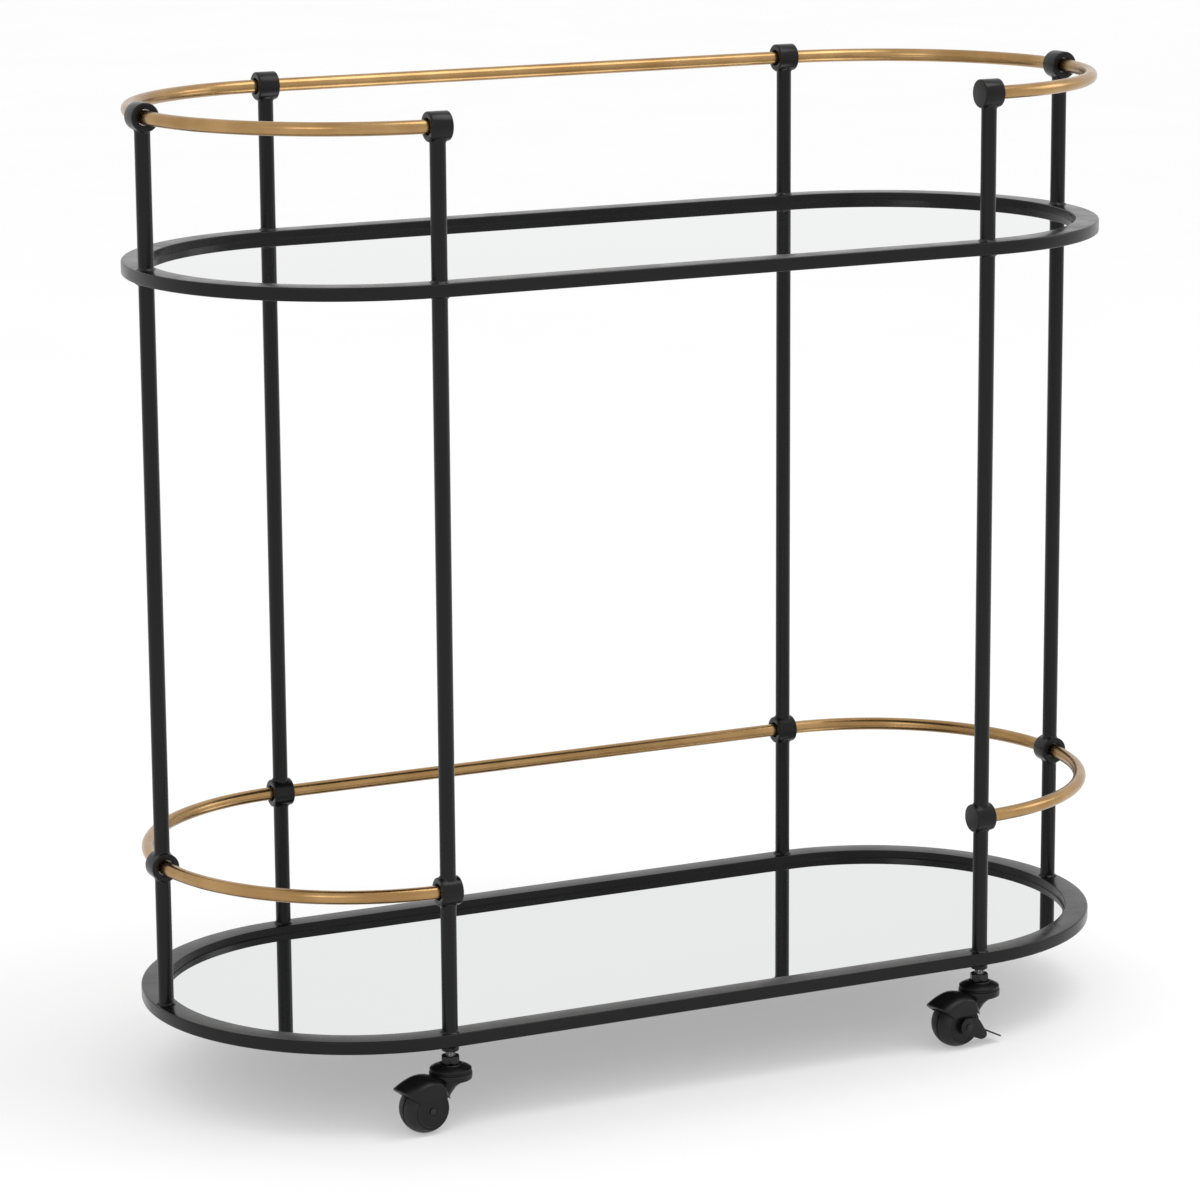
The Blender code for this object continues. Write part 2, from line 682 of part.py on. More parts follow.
shelf("lower", LOWER_SHELF_TOP)
shelf("upper", UPPER_SHELF_TOP)
rail("lower", LOWER_RAIL_HEIGHT)
rail("upper", UPPER_RAIL_HEIGHT)
for corner_name in POST_PLACES:
    post(corner_name)
    foot_post(corner_name)
    collar("lower", corner_name, LOWER_RAIL_HEIGHT)
    collar("upper", corner_name, UPPER_RAIL_HEIGHT)
for corner_name in CASTER_TURNS:
    caster(corner_name)
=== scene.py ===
"""Finished looks for a two-tier bar cart on swivel casters.

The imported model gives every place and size. Each class below makes one sub-assembly: shelves, rails,
posts, collars, caster parts and the studio round them. Sizes are in metres, apart from the outlines
that a class says are in millimetres. Surfaces are grids of points worked out from a formula, which
each docstring gives in words.
"""

import json
import logging
import math
from collections.abc import Sequence
from dataclasses import dataclass, field
from enum import Enum
from typing import Any

import bmesh
import bpy
import numpy as np
from mathutils import Matrix, Vector

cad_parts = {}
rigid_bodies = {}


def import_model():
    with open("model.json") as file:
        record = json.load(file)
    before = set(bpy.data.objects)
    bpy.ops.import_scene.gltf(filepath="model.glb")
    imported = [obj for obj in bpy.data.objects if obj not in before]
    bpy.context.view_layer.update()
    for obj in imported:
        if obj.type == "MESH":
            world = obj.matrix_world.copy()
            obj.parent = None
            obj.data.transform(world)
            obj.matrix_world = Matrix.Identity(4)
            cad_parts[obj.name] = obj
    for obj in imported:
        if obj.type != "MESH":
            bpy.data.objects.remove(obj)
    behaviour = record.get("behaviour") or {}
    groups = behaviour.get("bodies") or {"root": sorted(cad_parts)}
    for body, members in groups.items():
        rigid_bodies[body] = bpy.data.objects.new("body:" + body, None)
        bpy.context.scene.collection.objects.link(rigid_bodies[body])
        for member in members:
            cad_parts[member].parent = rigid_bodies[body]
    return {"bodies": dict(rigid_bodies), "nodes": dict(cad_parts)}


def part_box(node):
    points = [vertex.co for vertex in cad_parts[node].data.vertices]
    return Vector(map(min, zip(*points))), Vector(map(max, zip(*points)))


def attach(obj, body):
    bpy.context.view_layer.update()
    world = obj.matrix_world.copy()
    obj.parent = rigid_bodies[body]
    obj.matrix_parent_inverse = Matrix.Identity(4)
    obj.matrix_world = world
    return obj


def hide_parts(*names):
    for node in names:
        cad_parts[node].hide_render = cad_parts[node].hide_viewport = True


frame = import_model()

LOG = logging.getLogger("bar_cart")
Array = np.ndarray
MM = 0.001
MERGE_DISTANCE = 1e-6


class Slot(Enum):
    """The record's material slots."""

    FRAME = "frame_black"
    RAIL = "rail_brass"
    MIRROR = "mirror_glass"
    BACKING = "backing_black"
    CASTER = "caster_black"
    STEM = "stem_steel"


class Post(Enum):
    """The six posts, by where they stand."""

    FRONT_LEFT = "front_left"
    FRONT_RIGHT = "front_right"
    BACK_LEFT = "back_left"
    BACK_RIGHT = "back_right"
    LEFT = "left"
    RIGHT = "right"

    @property
    def has_caster(self) -> bool:
        """Whether a caster stands under this post."""
        return self not in (Post.LEFT, Post.RIGHT)

    @property
    def brake_side(self) -> "Side | None":
        """The side of this post's caster that carries a brake lever, if one does."""
        return {Post.FRONT_RIGHT: Side.A, Post.BACK_LEFT: Side.B}.get(self)

    @property
    def axis(self) -> Array:
        """Where the post's axis meets the floor plan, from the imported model."""
        low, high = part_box(f"post_{self.value}")
        return np.array([(low.x + high.x) / 2, (low.y + high.y) / 2])


class Level(Enum):
    """The two tiers."""

    LOWER = "lower"
    UPPER = "upper"

    @property
    def shelf_top(self) -> float:
        """Height of the frame's top face."""
        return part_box(f"{self.value}_shelf_frame")[1].z

    @property
    def rail_height(self) -> float:
        """Height of the rail's centre line."""
        low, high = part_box(f"{self.value}_rail")
        return (low.z + high.z) / 2


class Side(Enum):
    """The two halves of a twin wheel, by their side of the caster's middle."""

    A = 1
    B = -1

    @property
    def body(self) -> str:
        """The start of the name of this half's body."""
        return f"wheel_{self.name.lower()}"


# ---------------------------------------------------------------------------------------------------
# Shapes


def eased(corners: Sequence[tuple[float, float, float]], steps: int = 5, closed: bool = False) -> Array:
    """Rounds the corners of a flat line of points.

    At a corner of radius r, both sides are left at r / tan(half the corner's angle) and an arc that
    touches them both joins the two places.

    Args:
        corners: (first coordinate, second coordinate, radius) of each corner.
        steps: Parts in each arc.
        closed: Whether the last corner joins the first.

    Returns:
        The points of the rounded line, one row each.
    """
    places = np.array([corner[:2] for corner in corners], float)
    count = len(corners)
    share = np.linspace(0, 1, steps + 1)[:, None]
    line: list[Array] = []
    for i, (_, _, radius) in enumerate(corners):
        at_end = not closed and i in (0, count - 1)
        if radius <= 0 or at_end:
            line.append(places[i : i + 1])
            continue
        back = places[i - 1] - places[i]
        ahead = places[(i + 1) % count] - places[i]
        back, ahead = back / np.linalg.norm(back), ahead / np.linalg.norm(ahead)
        half = math.acos(float(np.clip(back @ ahead, -1, 1))) / 2
        middle = (back + ahead) / np.linalg.norm(back + ahead)
        centre = places[i] + middle * radius / math.sin(half)
        start = places[i] + back * radius / math.tan(half) - centre
        end = places[i] + ahead * radius / math.tan(half) - centre
        sweep = math.pi - 2 * half
        spoke = np.sin((1 - share) * sweep) * start + np.sin(share * sweep) * end
        line.append(centre + spoke / math.sin(sweep))
    return np.concatenate(line)


def softened(outline: Array, rounds: int = 3) -> Array:
    """Rounds a closed outline by cutting its corners.

    Each round puts two points on every side, a quarter and three quarters along it.
    """
    for _ in range(rounds):
        following = np.roll(outline, -1, axis=0)
        outline = np.stack([0.75 * outline + 0.25 * following, 0.25 * outline + 0.75 * following], axis=1)
        outline = outline.reshape(-1, 2)
    return outline


def turned(profile: Array, sides: int) -> Array:
    """Surface of revolution: a profile point (r, h) at turn t lies at (r cos t, r sin t, h)."""
    turn = np.linspace(0, 2 * np.pi, sides, endpoint=False)
    ring = np.stack([np.cos(turn), np.sin(turn)], axis=-1)
    flat = profile[:, None, :1] * ring[None]
    height = np.broadcast_to(profile[:, None, 1:], (*flat.shape[:2], 1))
    return np.concatenate([flat, height], axis=-1)


def lesser(first: Array, second: Array, soft: float) -> Array:
    """The smaller of two values, with the corner between them rounded over the soft length."""
    return -soft * np.logaddexp(-first / soft, -second / soft)


def bulged(
    radius: Array, bulge: float, half: float, power: Array, start: Array, steps: int = 24
) -> tuple[Array, Array]:
    """A row of half sections of a squashed ball, each cut off flat at both sides.

    At parameter t from the top, a section lies at height radius * cos(t)^(2 / power) and at
    bulge * sin(t)^(2 / power) across, and its place across is softly limited to the half width. It ends
    where the height falls to the start.

    Args:
        radius: Height of the top, one value for each row.
        bulge: Half width that the ball would have if it were not cut off.
        half: Half width after the cut.
        power: Power of the curve, one value for each row.
        start: Height where the section ends, one value for each row.
        steps: Steps from the top to each end.

    Returns:
        Places across, and heights, each with one row for each value of radius.
    """
    radius, power, start = (np.asarray(v, float)[:, None] for v in (radius, power, start))
    last = np.arccos(np.clip(start / radius, 0, 1) ** (power / 2))
    turn = last * np.linspace(0, 1, steps + 1)[None]
    away = radius * np.cos(turn) ** (2 / power)
    across = lesser(bulge * np.sin(turn) ** (2 / power), np.full_like(turn, half), 0.3 * MM)
    across[:, 0] = 0.0
    return (
        np.concatenate([across[:, :0:-1], -across], axis=1),
        np.concatenate([away[:, :0:-1], away], axis=1),
    )


@dataclass(frozen=True)
class Place:
    """A position and three directions that carry a local shape to its place in the cart."""

    origin: tuple[float, float, float]
    first: tuple[float, float, float] = (1, 0, 0)
    second: tuple[float, float, float] = (0, 1, 0)
    third: tuple[float, float, float] = (0, 0, 1)

    def carry(self, local: Array) -> Array:
        """Local point (a, b, c) goes to origin + a first + b second + c third."""
        return np.array(self.origin, float) + local @ np.array([self.first, self.second, self.third], float)


@dataclass
class Draft:
    """A mesh in the making: shells are added to it and then it becomes one finished piece."""

    points: list[Array] = field(default_factory=list)
    faces: list[list[list[int]]] = field(default_factory=list)
    corners: list[Array] = field(default_factory=list)
    count: int = 0

    def add_sheet(
        self, sheet: Array, wrap_rows: bool = False, wrap_columns: bool = True, along: Array | None = None
    ) -> "Draft":
        """Adds a grid of points as four-sided faces.

        Args:
            sheet: Points by row and column.
            wrap_rows: Whether the last row joins the first.
            wrap_columns: Whether the last column joins the first.
            along: Map coordinates by row and column, one more of each where that way wraps.

        Returns:
            This draft, so that calls can follow each other.
        """
        rows, columns = sheet.shape[:2]
        index = np.arange(rows * columns).reshape(rows, columns)
        index = np.vstack([index, index[:1]]) if wrap_rows else index
        index = np.hstack([index, index[:, :1]]) if wrap_columns else index
        faces = self._round(index).reshape(-1, 4)
        spread = np.zeros((*index.shape, 2)) if along is None else along
        self.points.append(sheet.reshape(-1, 3))
        self.faces.append((faces + self.count).tolist())
        self.corners.append(self._round(spread).reshape(-1, 2))
        self.count += rows * columns
        return self

    @staticmethod
    def _round(grid: Array) -> Array:
        """The four corners of each cell of a grid, in order round it."""
        return np.stack([grid[:-1, :-1], grid[:-1, 1:], grid[1:, 1:], grid[1:, :-1]], axis=2)

    def add_lid(self, loop: Array) -> "Draft":
        """Closes a flat loop of points with one face."""
        self.points.append(loop)
        self.faces.append([list(range(self.count, self.count + len(loop)))])
        self.corners.append(np.zeros((len(loop), 2)))
        self.count += len(loop)
        return self

    def add_slab(
        self, outline: Array, low: float, high: float, edge: float, place: Place, steps: int = 3
    ) -> "Draft":
        """Adds a plate with rounded edges.

        The outline is drawn in by edge (1 - sin q) at a depth of edge (1 - cos q) from each face, for q
        from nothing to a quarter turn. Local axes are the outline's two and then the thickness.

        Args:
            outline: Points round the plate.
            low: Where one face lies.
            high: Where the other face lies.
            edge: Radius of the rounded edges.
            place: Carries the plate to its place.
            steps: Parts in each rounding.

        Returns:
            This draft.
        """
        ahead = np.roll(outline, -1, axis=0) - outline
        ahead /= np.linalg.norm(ahead, axis=1, keepdims=True)
        out = np.stack([ahead[:, 1], -ahead[:, 0]], axis=1)
        before = np.roll(out, 1, axis=0)
        mitre = (out + before) / (1 + (out * before).sum(axis=1, keepdims=True))
        x, y = outline.T
        twice_area = (x * np.roll(y, -1) - np.roll(x, -1) * y).sum()
        mitre *= math.copysign(1, twice_area)
        turn = np.linspace(0, np.pi / 2, steps + 1)
        inset = edge * (1 - np.sin(turn))
        depth = edge * (1 - np.cos(turn))
        insets = np.concatenate([inset, inset[::-1]])
        heights = np.concatenate([low + depth, (high - depth)[::-1]])
        flat = outline[None] - insets[:, None, None] * mitre[None]
        tall = np.broadcast_to(heights[:, None, None], (*flat.shape[:2], 1))
        sheet = place.carry(np.concatenate([flat, tall], axis=-1))
        return self.add_sheet(sheet).add_lid(sheet[0]).add_lid(sheet[-1])

    def add_turned(
        self, corners: Sequence[tuple[float, float, float]], place: Place, sides: int = 48, loop: bool = False
    ) -> "Draft":
        """Adds a shape turned about the place's third direction.

        Args:
            corners: (radius, height, corner radius) of each corner of the profile.
            place: Carries the shape to its place.
            sides: Parts of a full turn.
            loop: Whether the profile is a closed line clear of the axis.

        Returns:
            This draft.
        """
        sheet = place.carry(turned(eased(corners, closed=loop), sides))
        return self.add_sheet(sheet, wrap_rows=loop)

    def piece(self, name: str, finish: "Finish", sharp_above: float = 35) -> bpy.types.Object:
        """Makes the piece: seams are merged and faces turned outwards.

        Args:
            name: Name of the object.
            finish: What it is made of.
            sharp_above: Edges that turn by more than this many degrees stay crisp.

        Returns:
            The new object, at the origin with its place in its mesh.
        """
        mesh = bpy.data.meshes.new(name)
        faces = [face for part in self.faces for face in part]
        mesh.from_pydata(np.concatenate(self.points), [], faces)
        layer = mesh.uv_layers.new(name="along")
        layer.data.foreach_set("uv", np.concatenate(self.corners).astype(np.float32).ravel())
        shape = bmesh.new()
        shape.from_mesh(mesh)
        bmesh.ops.remove_doubles(shape, verts=shape.verts, dist=MERGE_DISTANCE)
        bmesh.ops.dissolve_degenerate(shape, dist=MERGE_DISTANCE / 10, edges=shape.edges)
        bmesh.ops.recalc_face_normals(shape, faces=shape.faces)
        shape.to_mesh(mesh)
        shape.free()
        mesh.shade_smooth()
        mesh.set_sharp_from_angle(angle=math.radians(sharp_above))
        mesh.materials.append(finish.material())
        obj = bpy.data.objects.new(name, mesh)
        bpy.context.scene.collection.objects.link(obj)
        return obj


def hand_over(obj: bpy.types.Object, body: str, slot: Slot, *nodes: str) -> None:
    """Puts a finished piece on its body and hides the CAD nodes that it stands for.

    Args:
        obj: The piece.
        body: The CAD body that it moves with.
        slot: Where its finish belongs in the record. Not used.
        nodes: CAD nodes that it replaces.
    """
    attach(obj, body)
    if nodes:
        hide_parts(*nodes)
    LOG.info("%s: %d faces, on %s", obj.name, len(obj.data.polygons), body)


# ---------------------------------------------------------------------------------------------------
# Finishes


@dataclass
class Board:
    """Adds nodes to a shader tree and joins them."""

    tree: bpy.types.NodeTree

    def add(self, kind: str, inputs: dict[str | int, Any] | None = None, **settings: Any) -> bpy.types.Node:
        """Adds one node.

        Args:
            kind: The node's type name.
            inputs: Value or socket for each named or numbered input.
            settings: The node's own settings.

        Returns:
            The node.
        """
        node = self.tree.nodes.new(kind)
        for name, value in settings.items():
            setattr(node, name, value)
        for key, value in (inputs or {}).items():
            if isinstance(value, bpy.types.NodeSocket):
                self.tree.links.new(value, node.inputs[key])
            else:
                node.inputs[key].default_value = value
        return node

    def place_on(self, source: str) -> bpy.types.NodeSocket:
        """Object coordinates, or the piece's own map if source is UV."""
        return self.add("ShaderNodeTexCoord").outputs[source]

    def between(self, mask: bpy.types.NodeSocket, low: float, high: float) -> bpy.types.NodeSocket:
        """A value that goes from low to high as the mask goes from 0 to 1."""
        node = self.add("ShaderNodeMapRange", {"Value": mask, "To Min": low, "To Max": high})
        return node.outputs["Result"]

    def tint(self, mask: bpy.types.NodeSocket, plain: Any, other: Any) -> bpy.types.NodeSocket:
        """A colour that goes from plain to other as the mask goes from 0 to 1."""
        node = self.add("ShaderNodeMix", {"Factor": mask}, data_type="RGBA")
        for key, colour in (("A_Color", plain), ("B_Color", other)):
            socket = next(s for s in node.inputs if s.identifier == key)
            if isinstance(colour, bpy.types.NodeSocket):
                self.tree.links.new(colour, socket)
            else:
                socket.default_value = (*colour, 1)
        return next(s for s in node.outputs if s.identifier == "Result_Color")


def new_group(
    name: str, inputs: dict[str, float], output: str
) -> tuple[Board, dict[str, bpy.types.NodeSocket]]:
    """Starts a node group with a Vector input, some number inputs and one output.

    Args:
        name: The group's name.
        inputs: Default of each number input.
        output: Name of the output value.

    Returns:
        A board for the group, and the socket of each of its inputs by name.
    """
    tree = bpy.data.node_groups.new(name, "ShaderNodeTree")
    tree.interface.new_socket("Vector", in_out="INPUT", socket_type="NodeSocketVector")
    for key, value in inputs.items():
        tree.interface.new_socket(key, in_out="INPUT", socket_type="NodeSocketFloat").default_value = value
    tree.interface.new_socket(output, in_out="OUTPUT", socket_type="NodeSocketFloat")
    board = Board(tree)
    given = board.add("NodeGroupInput")
    return board, {key: given.outputs[key] for key in ("Vector", *inputs)}


class Effect(Enum):
    """Patterns that several finishes share. Each is one node group, built the first time it is used."""

    CLOUDS = "soft_clouds"
    GRAIN = "fine_grain"
    SPECKS = "stray_specks"

    def tree(self) -> bpy.types.NodeTree:
        """The node group of this effect."""
        return bpy.data.node_groups.get(self.value) or getattr(self, f"_{self.name.lower()}")()

    def _clouds(self) -> bpy.types.NodeTree:
        """Soft noise, stretched so that most of it lies between 0 and 1."""
        board, given = new_group(self.value, {"Scale": 10.0}, "Mask")
        noise = board.add("ShaderNodeTexNoise", {**given, "Detail": 3.0, "Roughness": 0.55})
        limits = {"Value": noise.outputs[0], "From Min": 0.34, "From Max": 0.66}
        stretched = board.add("ShaderNodeMapRange", limits)
        board.add("NodeGroupOutput", {"Mask": stretched.outputs["Result"]})
        return board.tree

    def _grain(self) -> bpy.types.NodeTree:
        """Two sizes of noise added up: a small one, and one three times as large."""
        board, given = new_group(self.value, {"Scale": 900.0}, "Height")
        small = board.add("ShaderNodeTexNoise", {**given, "Detail": 2.0})
        wide = board.add("ShaderNodeMath", {0: given["Scale"], 1: 0.33}, operation="MULTIPLY")
        large = board.add(
            "ShaderNodeTexNoise", {"Vector": given["Vector"], "Scale": wide.outputs[0], "Detail": 1.0}
        )
        total = board.add("ShaderNodeMath", {0: small.outputs[0], 1: large.outputs[0]}, operation="ADD")
        board.add("NodeGroupOutput", {"Height": total.outputs[0]})
        return board.tree

    def _specks(self) -> bpy.types.NodeTree:
        """Small soft dots, where the distance to a scattered point is under a limit."""
        board, given = new_group(self.value, {"Scale": 300.0, "Size": 0.12}, "Mask")
        dots = board.add("ShaderNodeTexVoronoi", {"Vector": given["Vector"], "Scale": given["Scale"]})
        limits = {"From Min": given["Size"], "From Max": 0.0, "To Min": 0.0, "To Max": 1.0}
        dot = board.add("ShaderNodeMapRange", {"Value": dots.outputs["Distance"], **limits})
        board.add("NodeGroupOutput", {"Mask": dot.outputs["Result"]})
        return board.tree


@dataclass(frozen=True)
class Finish:
    """A surface finish. Two near colours and two roughnesses blend in soft clouds over a fine grain."""

    name: str
    colour: tuple[float, float, float]
    shade: tuple[float, float, float]
    roughness: tuple[float, float]
    metallic: float = 0.0
    specular: float = 0.5
    glow: float = 0.0
    cloud_scale: float = 12.0
    rough_scale: float = 60.0
    grain_scale: float = 900.0
    grain_depth: float = 0.02 * MM
    stretch: tuple[float, float, float] | None = None
    speck_scale: float = 0.0
    speck_size: float = 0.12
    speck_colour: tuple[float, float, float] = (0.0, 0.0, 0.0)

    def material(self) -> bpy.types.Material:
        """The material of this finish, built the first time it is asked for."""
        return bpy.data.materials.get(self.name) or self._build()

    def _build(self) -> bpy.types.Material:
        """Joins the shared effects to a Principled shader."""
        material = bpy.data.materials.new(self.name)
        material.use_nodes = True
        board = Board(material.node_tree)
        shader = material.node_tree.nodes["Principled BSDF"]
        shader.inputs["Metallic"].default_value = self.metallic
        shader.inputs["Specular IOR Level"].default_value = self.specular
        shader.inputs["Emission Color"].default_value = (1, 1, 1, 1)
        shader.inputs["Emission Strength"].default_value = self.glow
        material.diffuse_color = (*self.colour, 1)
        source = board.place_on("Object")
        clouds = self._effect(board, Effect.CLOUDS, source, self.cloud_scale)
        colour = board.tint(clouds, self.colour, self.shade)
        if self.speck_scale:
            specks = self._effect(board, Effect.SPECKS, source, self.speck_scale)
            specks.node.inputs["Size"].default_value = self.speck_size
            colour = board.tint(specks, colour, self.speck_colour)
        worked = source
        if self.stretch:
            mapping = board.add("ShaderNodeMapping", {"Vector": board.place_on("UV"), "Scale": self.stretch})
            worked = mapping.outputs["Vector"]
        rough = self._effect(board, Effect.CLOUDS, worked, self.rough_scale)
        grain = self._effect(board, Effect.GRAIN, worked, self.grain_scale)
        bump = board.add("ShaderNodeBump", {"Height": grain, "Strength": 1.0, "Distance": self.grain_depth})
        links = material.node_tree.links
        links.new(colour, shader.inputs["Base Color"])
        links.new(board.between(rough, *self.roughness), shader.inputs["Roughness"])
        links.new(bump.outputs["Normal"], shader.inputs["Normal"])
        return material

    @staticmethod
    def _effect(
        board: Board, effect: Effect, source: bpy.types.NodeSocket, scale: float
    ) -> bpy.types.NodeSocket:
        """Places a shared effect in this material.

        Args:
            board: The material's board.
            effect: Which effect.
            source: The coordinates that it reads.
            scale: Its features per metre.

        Returns:
            The effect's output.
        """
        node = board.add("ShaderNodeGroup", node_tree=effect.tree())
        board.tree.links.new(source, node.inputs["Vector"])
        node.inputs["Scale"].default_value = scale
        return node.outputs[0]


POWDER_COAT = Finish(
    name="satin_black_powder_coat",
    colour=(0.0030, 0.0031, 0.0034),
    shade=(0.0046, 0.0045, 0.0044),
    roughness=(0.21, 0.30),
    specular=0.23,
    cloud_scale=9,
    rough_scale=45,
    grain_scale=620,
    grain_depth=0.014 * MM,
)
ANTIQUE_BRASS = Finish(
    name="antique_satin_brass",
    colour=(0.430, 0.268, 0.118),
    shade=(0.330, 0.192, 0.076),
    roughness=(0.20, 0.30),
    metallic=1.0,
    cloud_scale=22,
    rough_scale=1.0,
    grain_scale=2.2,
    grain_depth=0.012 * MM,
    stretch=(38.0, 900.0, 1.0),
    speck_scale=240,
    speck_size=0.10,
    speck_colour=(0.20, 0.115, 0.045),
)
SILVERED_GLASS = Finish(
    name="silvered_mirror_glass",
    colour=(0.775, 0.780, 0.785),
    shade=(0.765, 0.772, 0.775),
    roughness=(0.010, 0.022),
    metallic=1.0,
    cloud_scale=5,
    rough_scale=11,
    grain_scale=3,
    grain_depth=0.002 * MM,
)
BACKING_BOARD = Finish(
    name="matt_black_backing_board",
    colour=(0.016, 0.016, 0.016),
    shade=(0.026, 0.025, 0.024),
    roughness=(0.62, 0.80),
    specular=0.3,
    cloud_scale=16,
    rough_scale=180,
    grain_scale=1500,
    grain_depth=0.05 * MM,
)
MOULDED_NYLON = Finish(
    name="moulded_black_nylon",
    colour=(0.0032, 0.0032, 0.0035),
    shade=(0.0050, 0.0049, 0.0048),
    roughness=(0.30, 0.42),
    specular=0.25,
    cloud_scale=60,
    rough_scale=240,
    grain_scale=2400,
    grain_depth=0.012 * MM,
)
WHEEL_TREAD = Finish(
    name="hard_black_tread",
    colour=(0.0058, 0.0058, 0.0060),
    shade=(0.0084, 0.0083, 0.0081),
    roughness=(0.42, 0.56),
    specular=0.30,
    cloud_scale=90,
    rough_scale=300,
    grain_scale=2600,
    grain_depth=0.020 * MM,
)
BRIGHT_ZINC = Finish(
    name="bright_zinc_thread",
    colour=(0.50, 0.50, 0.51),
    shade=(0.36, 0.36, 0.36),
    roughness=(0.20, 0.34),
    metallic=1.0,
    cloud_scale=150,
    rough_scale=400,
    grain_scale=2000,
    grain_depth=0.010 * MM,
)
DARK_ZINC = Finish(
    name="dark_zinc_steel",
    colour=(0.045, 0.045, 0.047),
    shade=(0.030, 0.030, 0.030),
    roughness=(0.22, 0.36),
    metallic=1.0,
    cloud_scale=150,
    rough_scale=400,
    grain_scale=2000,
    grain_depth=0.010 * MM,
)


# ---------------------------------------------------------------------------------------------------
# Shelves and rails


@dataclass(frozen=True)
class Plan:
    """The line through the post axes: two straight sides joined by two half circles."""

    half_straight: float
    end_radius: float
    arc_steps: int = 80
    straight_steps: int = 24

    @classmethod
    def from_posts(cls) -> "Plan":
        """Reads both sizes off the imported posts."""
        x, y = Post.BACK_RIGHT.axis
        return cls(half_straight=float(x), end_radius=float(y))

    @property
    def arc(self) -> float:
        """Length of one half circle."""
        return math.pi * self.end_radius

    @property
    def straight(self) -> float:
        """Length of one straight side."""
        return 2 * self.half_straight

    def runs(self) -> Array:
        """Distances along the whole line, close together on the arcs and far apart on the straights."""
        parts = [(self.arc, self.arc_steps), (self.straight, self.straight_steps)] * 2
        steps = np.concatenate([np.full(count, length / count) for length, count in parts])
        return np.concatenate([[0.0], np.cumsum(steps)[:-1]])

    def at(self, run: Array) -> tuple[Array, Array]:
        """Centre of curvature and outward direction after each run along the line.

        The line starts at the front right post and goes round the right end, along the back, round the
        left end and along the front. The direction turns by run / radius on an arc only, and the centre
        moves along X on a straight only.

        Args:
            run: Distances along the line.

        Returns:
            X of each centre, and the outward directions.
        """
        arc, straight = self.arc, self.straight
        run = np.mod(run, 2 * (arc + straight))
        swing = np.clip(run, 0, arc) + np.clip(run - arc - straight, 0, arc)
        turn = swing / self.end_radius - np.pi / 2
        back_run = np.clip(run - arc, 0, straight)
        front_run = np.clip(run - 2 * arc - straight, 0, straight)
        centre = self.half_straight - back_run + front_run
        return centre, np.stack([np.cos(turn), np.sin(turn)], axis=-1)

    def carried(self, profile: Array, run: Array) -> Array:
        """A profile of (distance outwards from the line, height) carried along the line.

        Args:
            profile: Points of the profile, the same at every run, or one row of points for each run.
            run: Distances along the line.

        Returns:
            Points by run and profile point.
        """
        centre, out = self.at(run)
        profile = np.broadcast_to(profile, (len(run), *profile.shape[-2:]))
        reach = self.end_radius + profile[..., :1]
        flat = reach * out[:, None, :]
        flat[..., 0] += centre[:, None]
        return np.concatenate([flat, profile[..., 1:]], axis=-1)


@dataclass(frozen=True)
class Shelf:
    """A flat-bar frame, the mirror that lies in it and the board under the mirror."""

    level: Level
    plan: Plan
    outside: float = 9 * MM
    inside: float = -11 * MM
    height: float = 10.8 * MM
    outer_edge: float = 1.3 * MM
    inner_edge: float = 0.9 * MM
    ledge_width: float = 8 * MM
    ledge_height: float = 1.0 * MM
    mirror_thickness: float = 3.0 * MM
    mirror_bevel: float = 1.6 * MM
    bevel_drop: float = 0.7 * MM
    gap: float = 0.3 * MM

    def build(self) -> None:
        """Makes the three pieces."""
        self._frame()
        self._mirror()
        self._board()

    def _frame(self) -> None:
        """The bar and its ledge: one closed section carried round the plan."""
        top = self.level.shelf_top
        bottom = top - self.height
        ledge = self.inside - self.ledge_width
        section = eased(
            [
                (self.outside, bottom, self.outer_edge),
                (self.outside, top, self.outer_edge),
                (self.inside, top, self.inner_edge),
                (self.inside, bottom + self.ledge_height, 0.25 * MM),
                (ledge, bottom + self.ledge_height, 0.3 * MM),
                (ledge, bottom, 0.3 * MM),
            ],
            closed=True,
        )
        sheet = self.plan.carried(section, self.plan.runs())
        name = f"{self.level.value}_flat_bar"
        obj = Draft().add_sheet(sheet, wrap_rows=True).piece(name, POWDER_COAT)
        hand_over(obj, "chassis", Slot.FRAME, f"{self.level.value}_shelf_frame")

    def _disc(self, name: str, section: Array, finish: Finish, sharp_above: float) -> bpy.types.Object:
        """A plate of the plan's shape: the section runs from the middle line over the edge and back."""
        sheet = self.plan.carried(section, self.plan.runs())
        return Draft().add_sheet(sheet, wrap_rows=True, wrap_columns=False).piece(name, finish, sharp_above)

    def _mirror(self) -> None:
        """The mirror, with a narrow polished bevel round its top."""
        low = self.level.shelf_top - self.height + self.ledge_height + self.gap
        high = low + self.mirror_thickness
        edge = self.inside - self.gap
        section = eased(
            [
                (-self.plan.end_radius, high, 0),
                (edge - self.mirror_bevel, high, 0),
                (edge, high - self.bevel_drop, 0.1 * MM),
                (edge, low, 0.4 * MM),
                (-self.plan.end_radius, low, 0),
            ]
        )
        obj = self._disc(f"{self.level.value}_mirror_plate", section, SILVERED_GLASS, 8)
        hand_over(obj, "chassis", Slot.MIRROR, f"{self.level.value}_mirror")

    def _board(self) -> None:
        """The board that closes the frame from below."""
        low = self.level.shelf_top - self.height
        high = low + self.ledge_height
        edge = self.inside - self.ledge_width - self.gap
        section = eased(
            [
                (-self.plan.end_radius, high, 0),
                (edge, high, 0.2 * MM),
                (edge, low, 0.3 * MM),
                (-self.plan.end_radius, low, 0),
            ]
        )
        obj = self._disc(f"{self.level.value}_backing_board", section, BACKING_BOARD, 35)
        hand_over(obj, "chassis", Slot.BACKING, f"{self.level.value}_backing_panel")


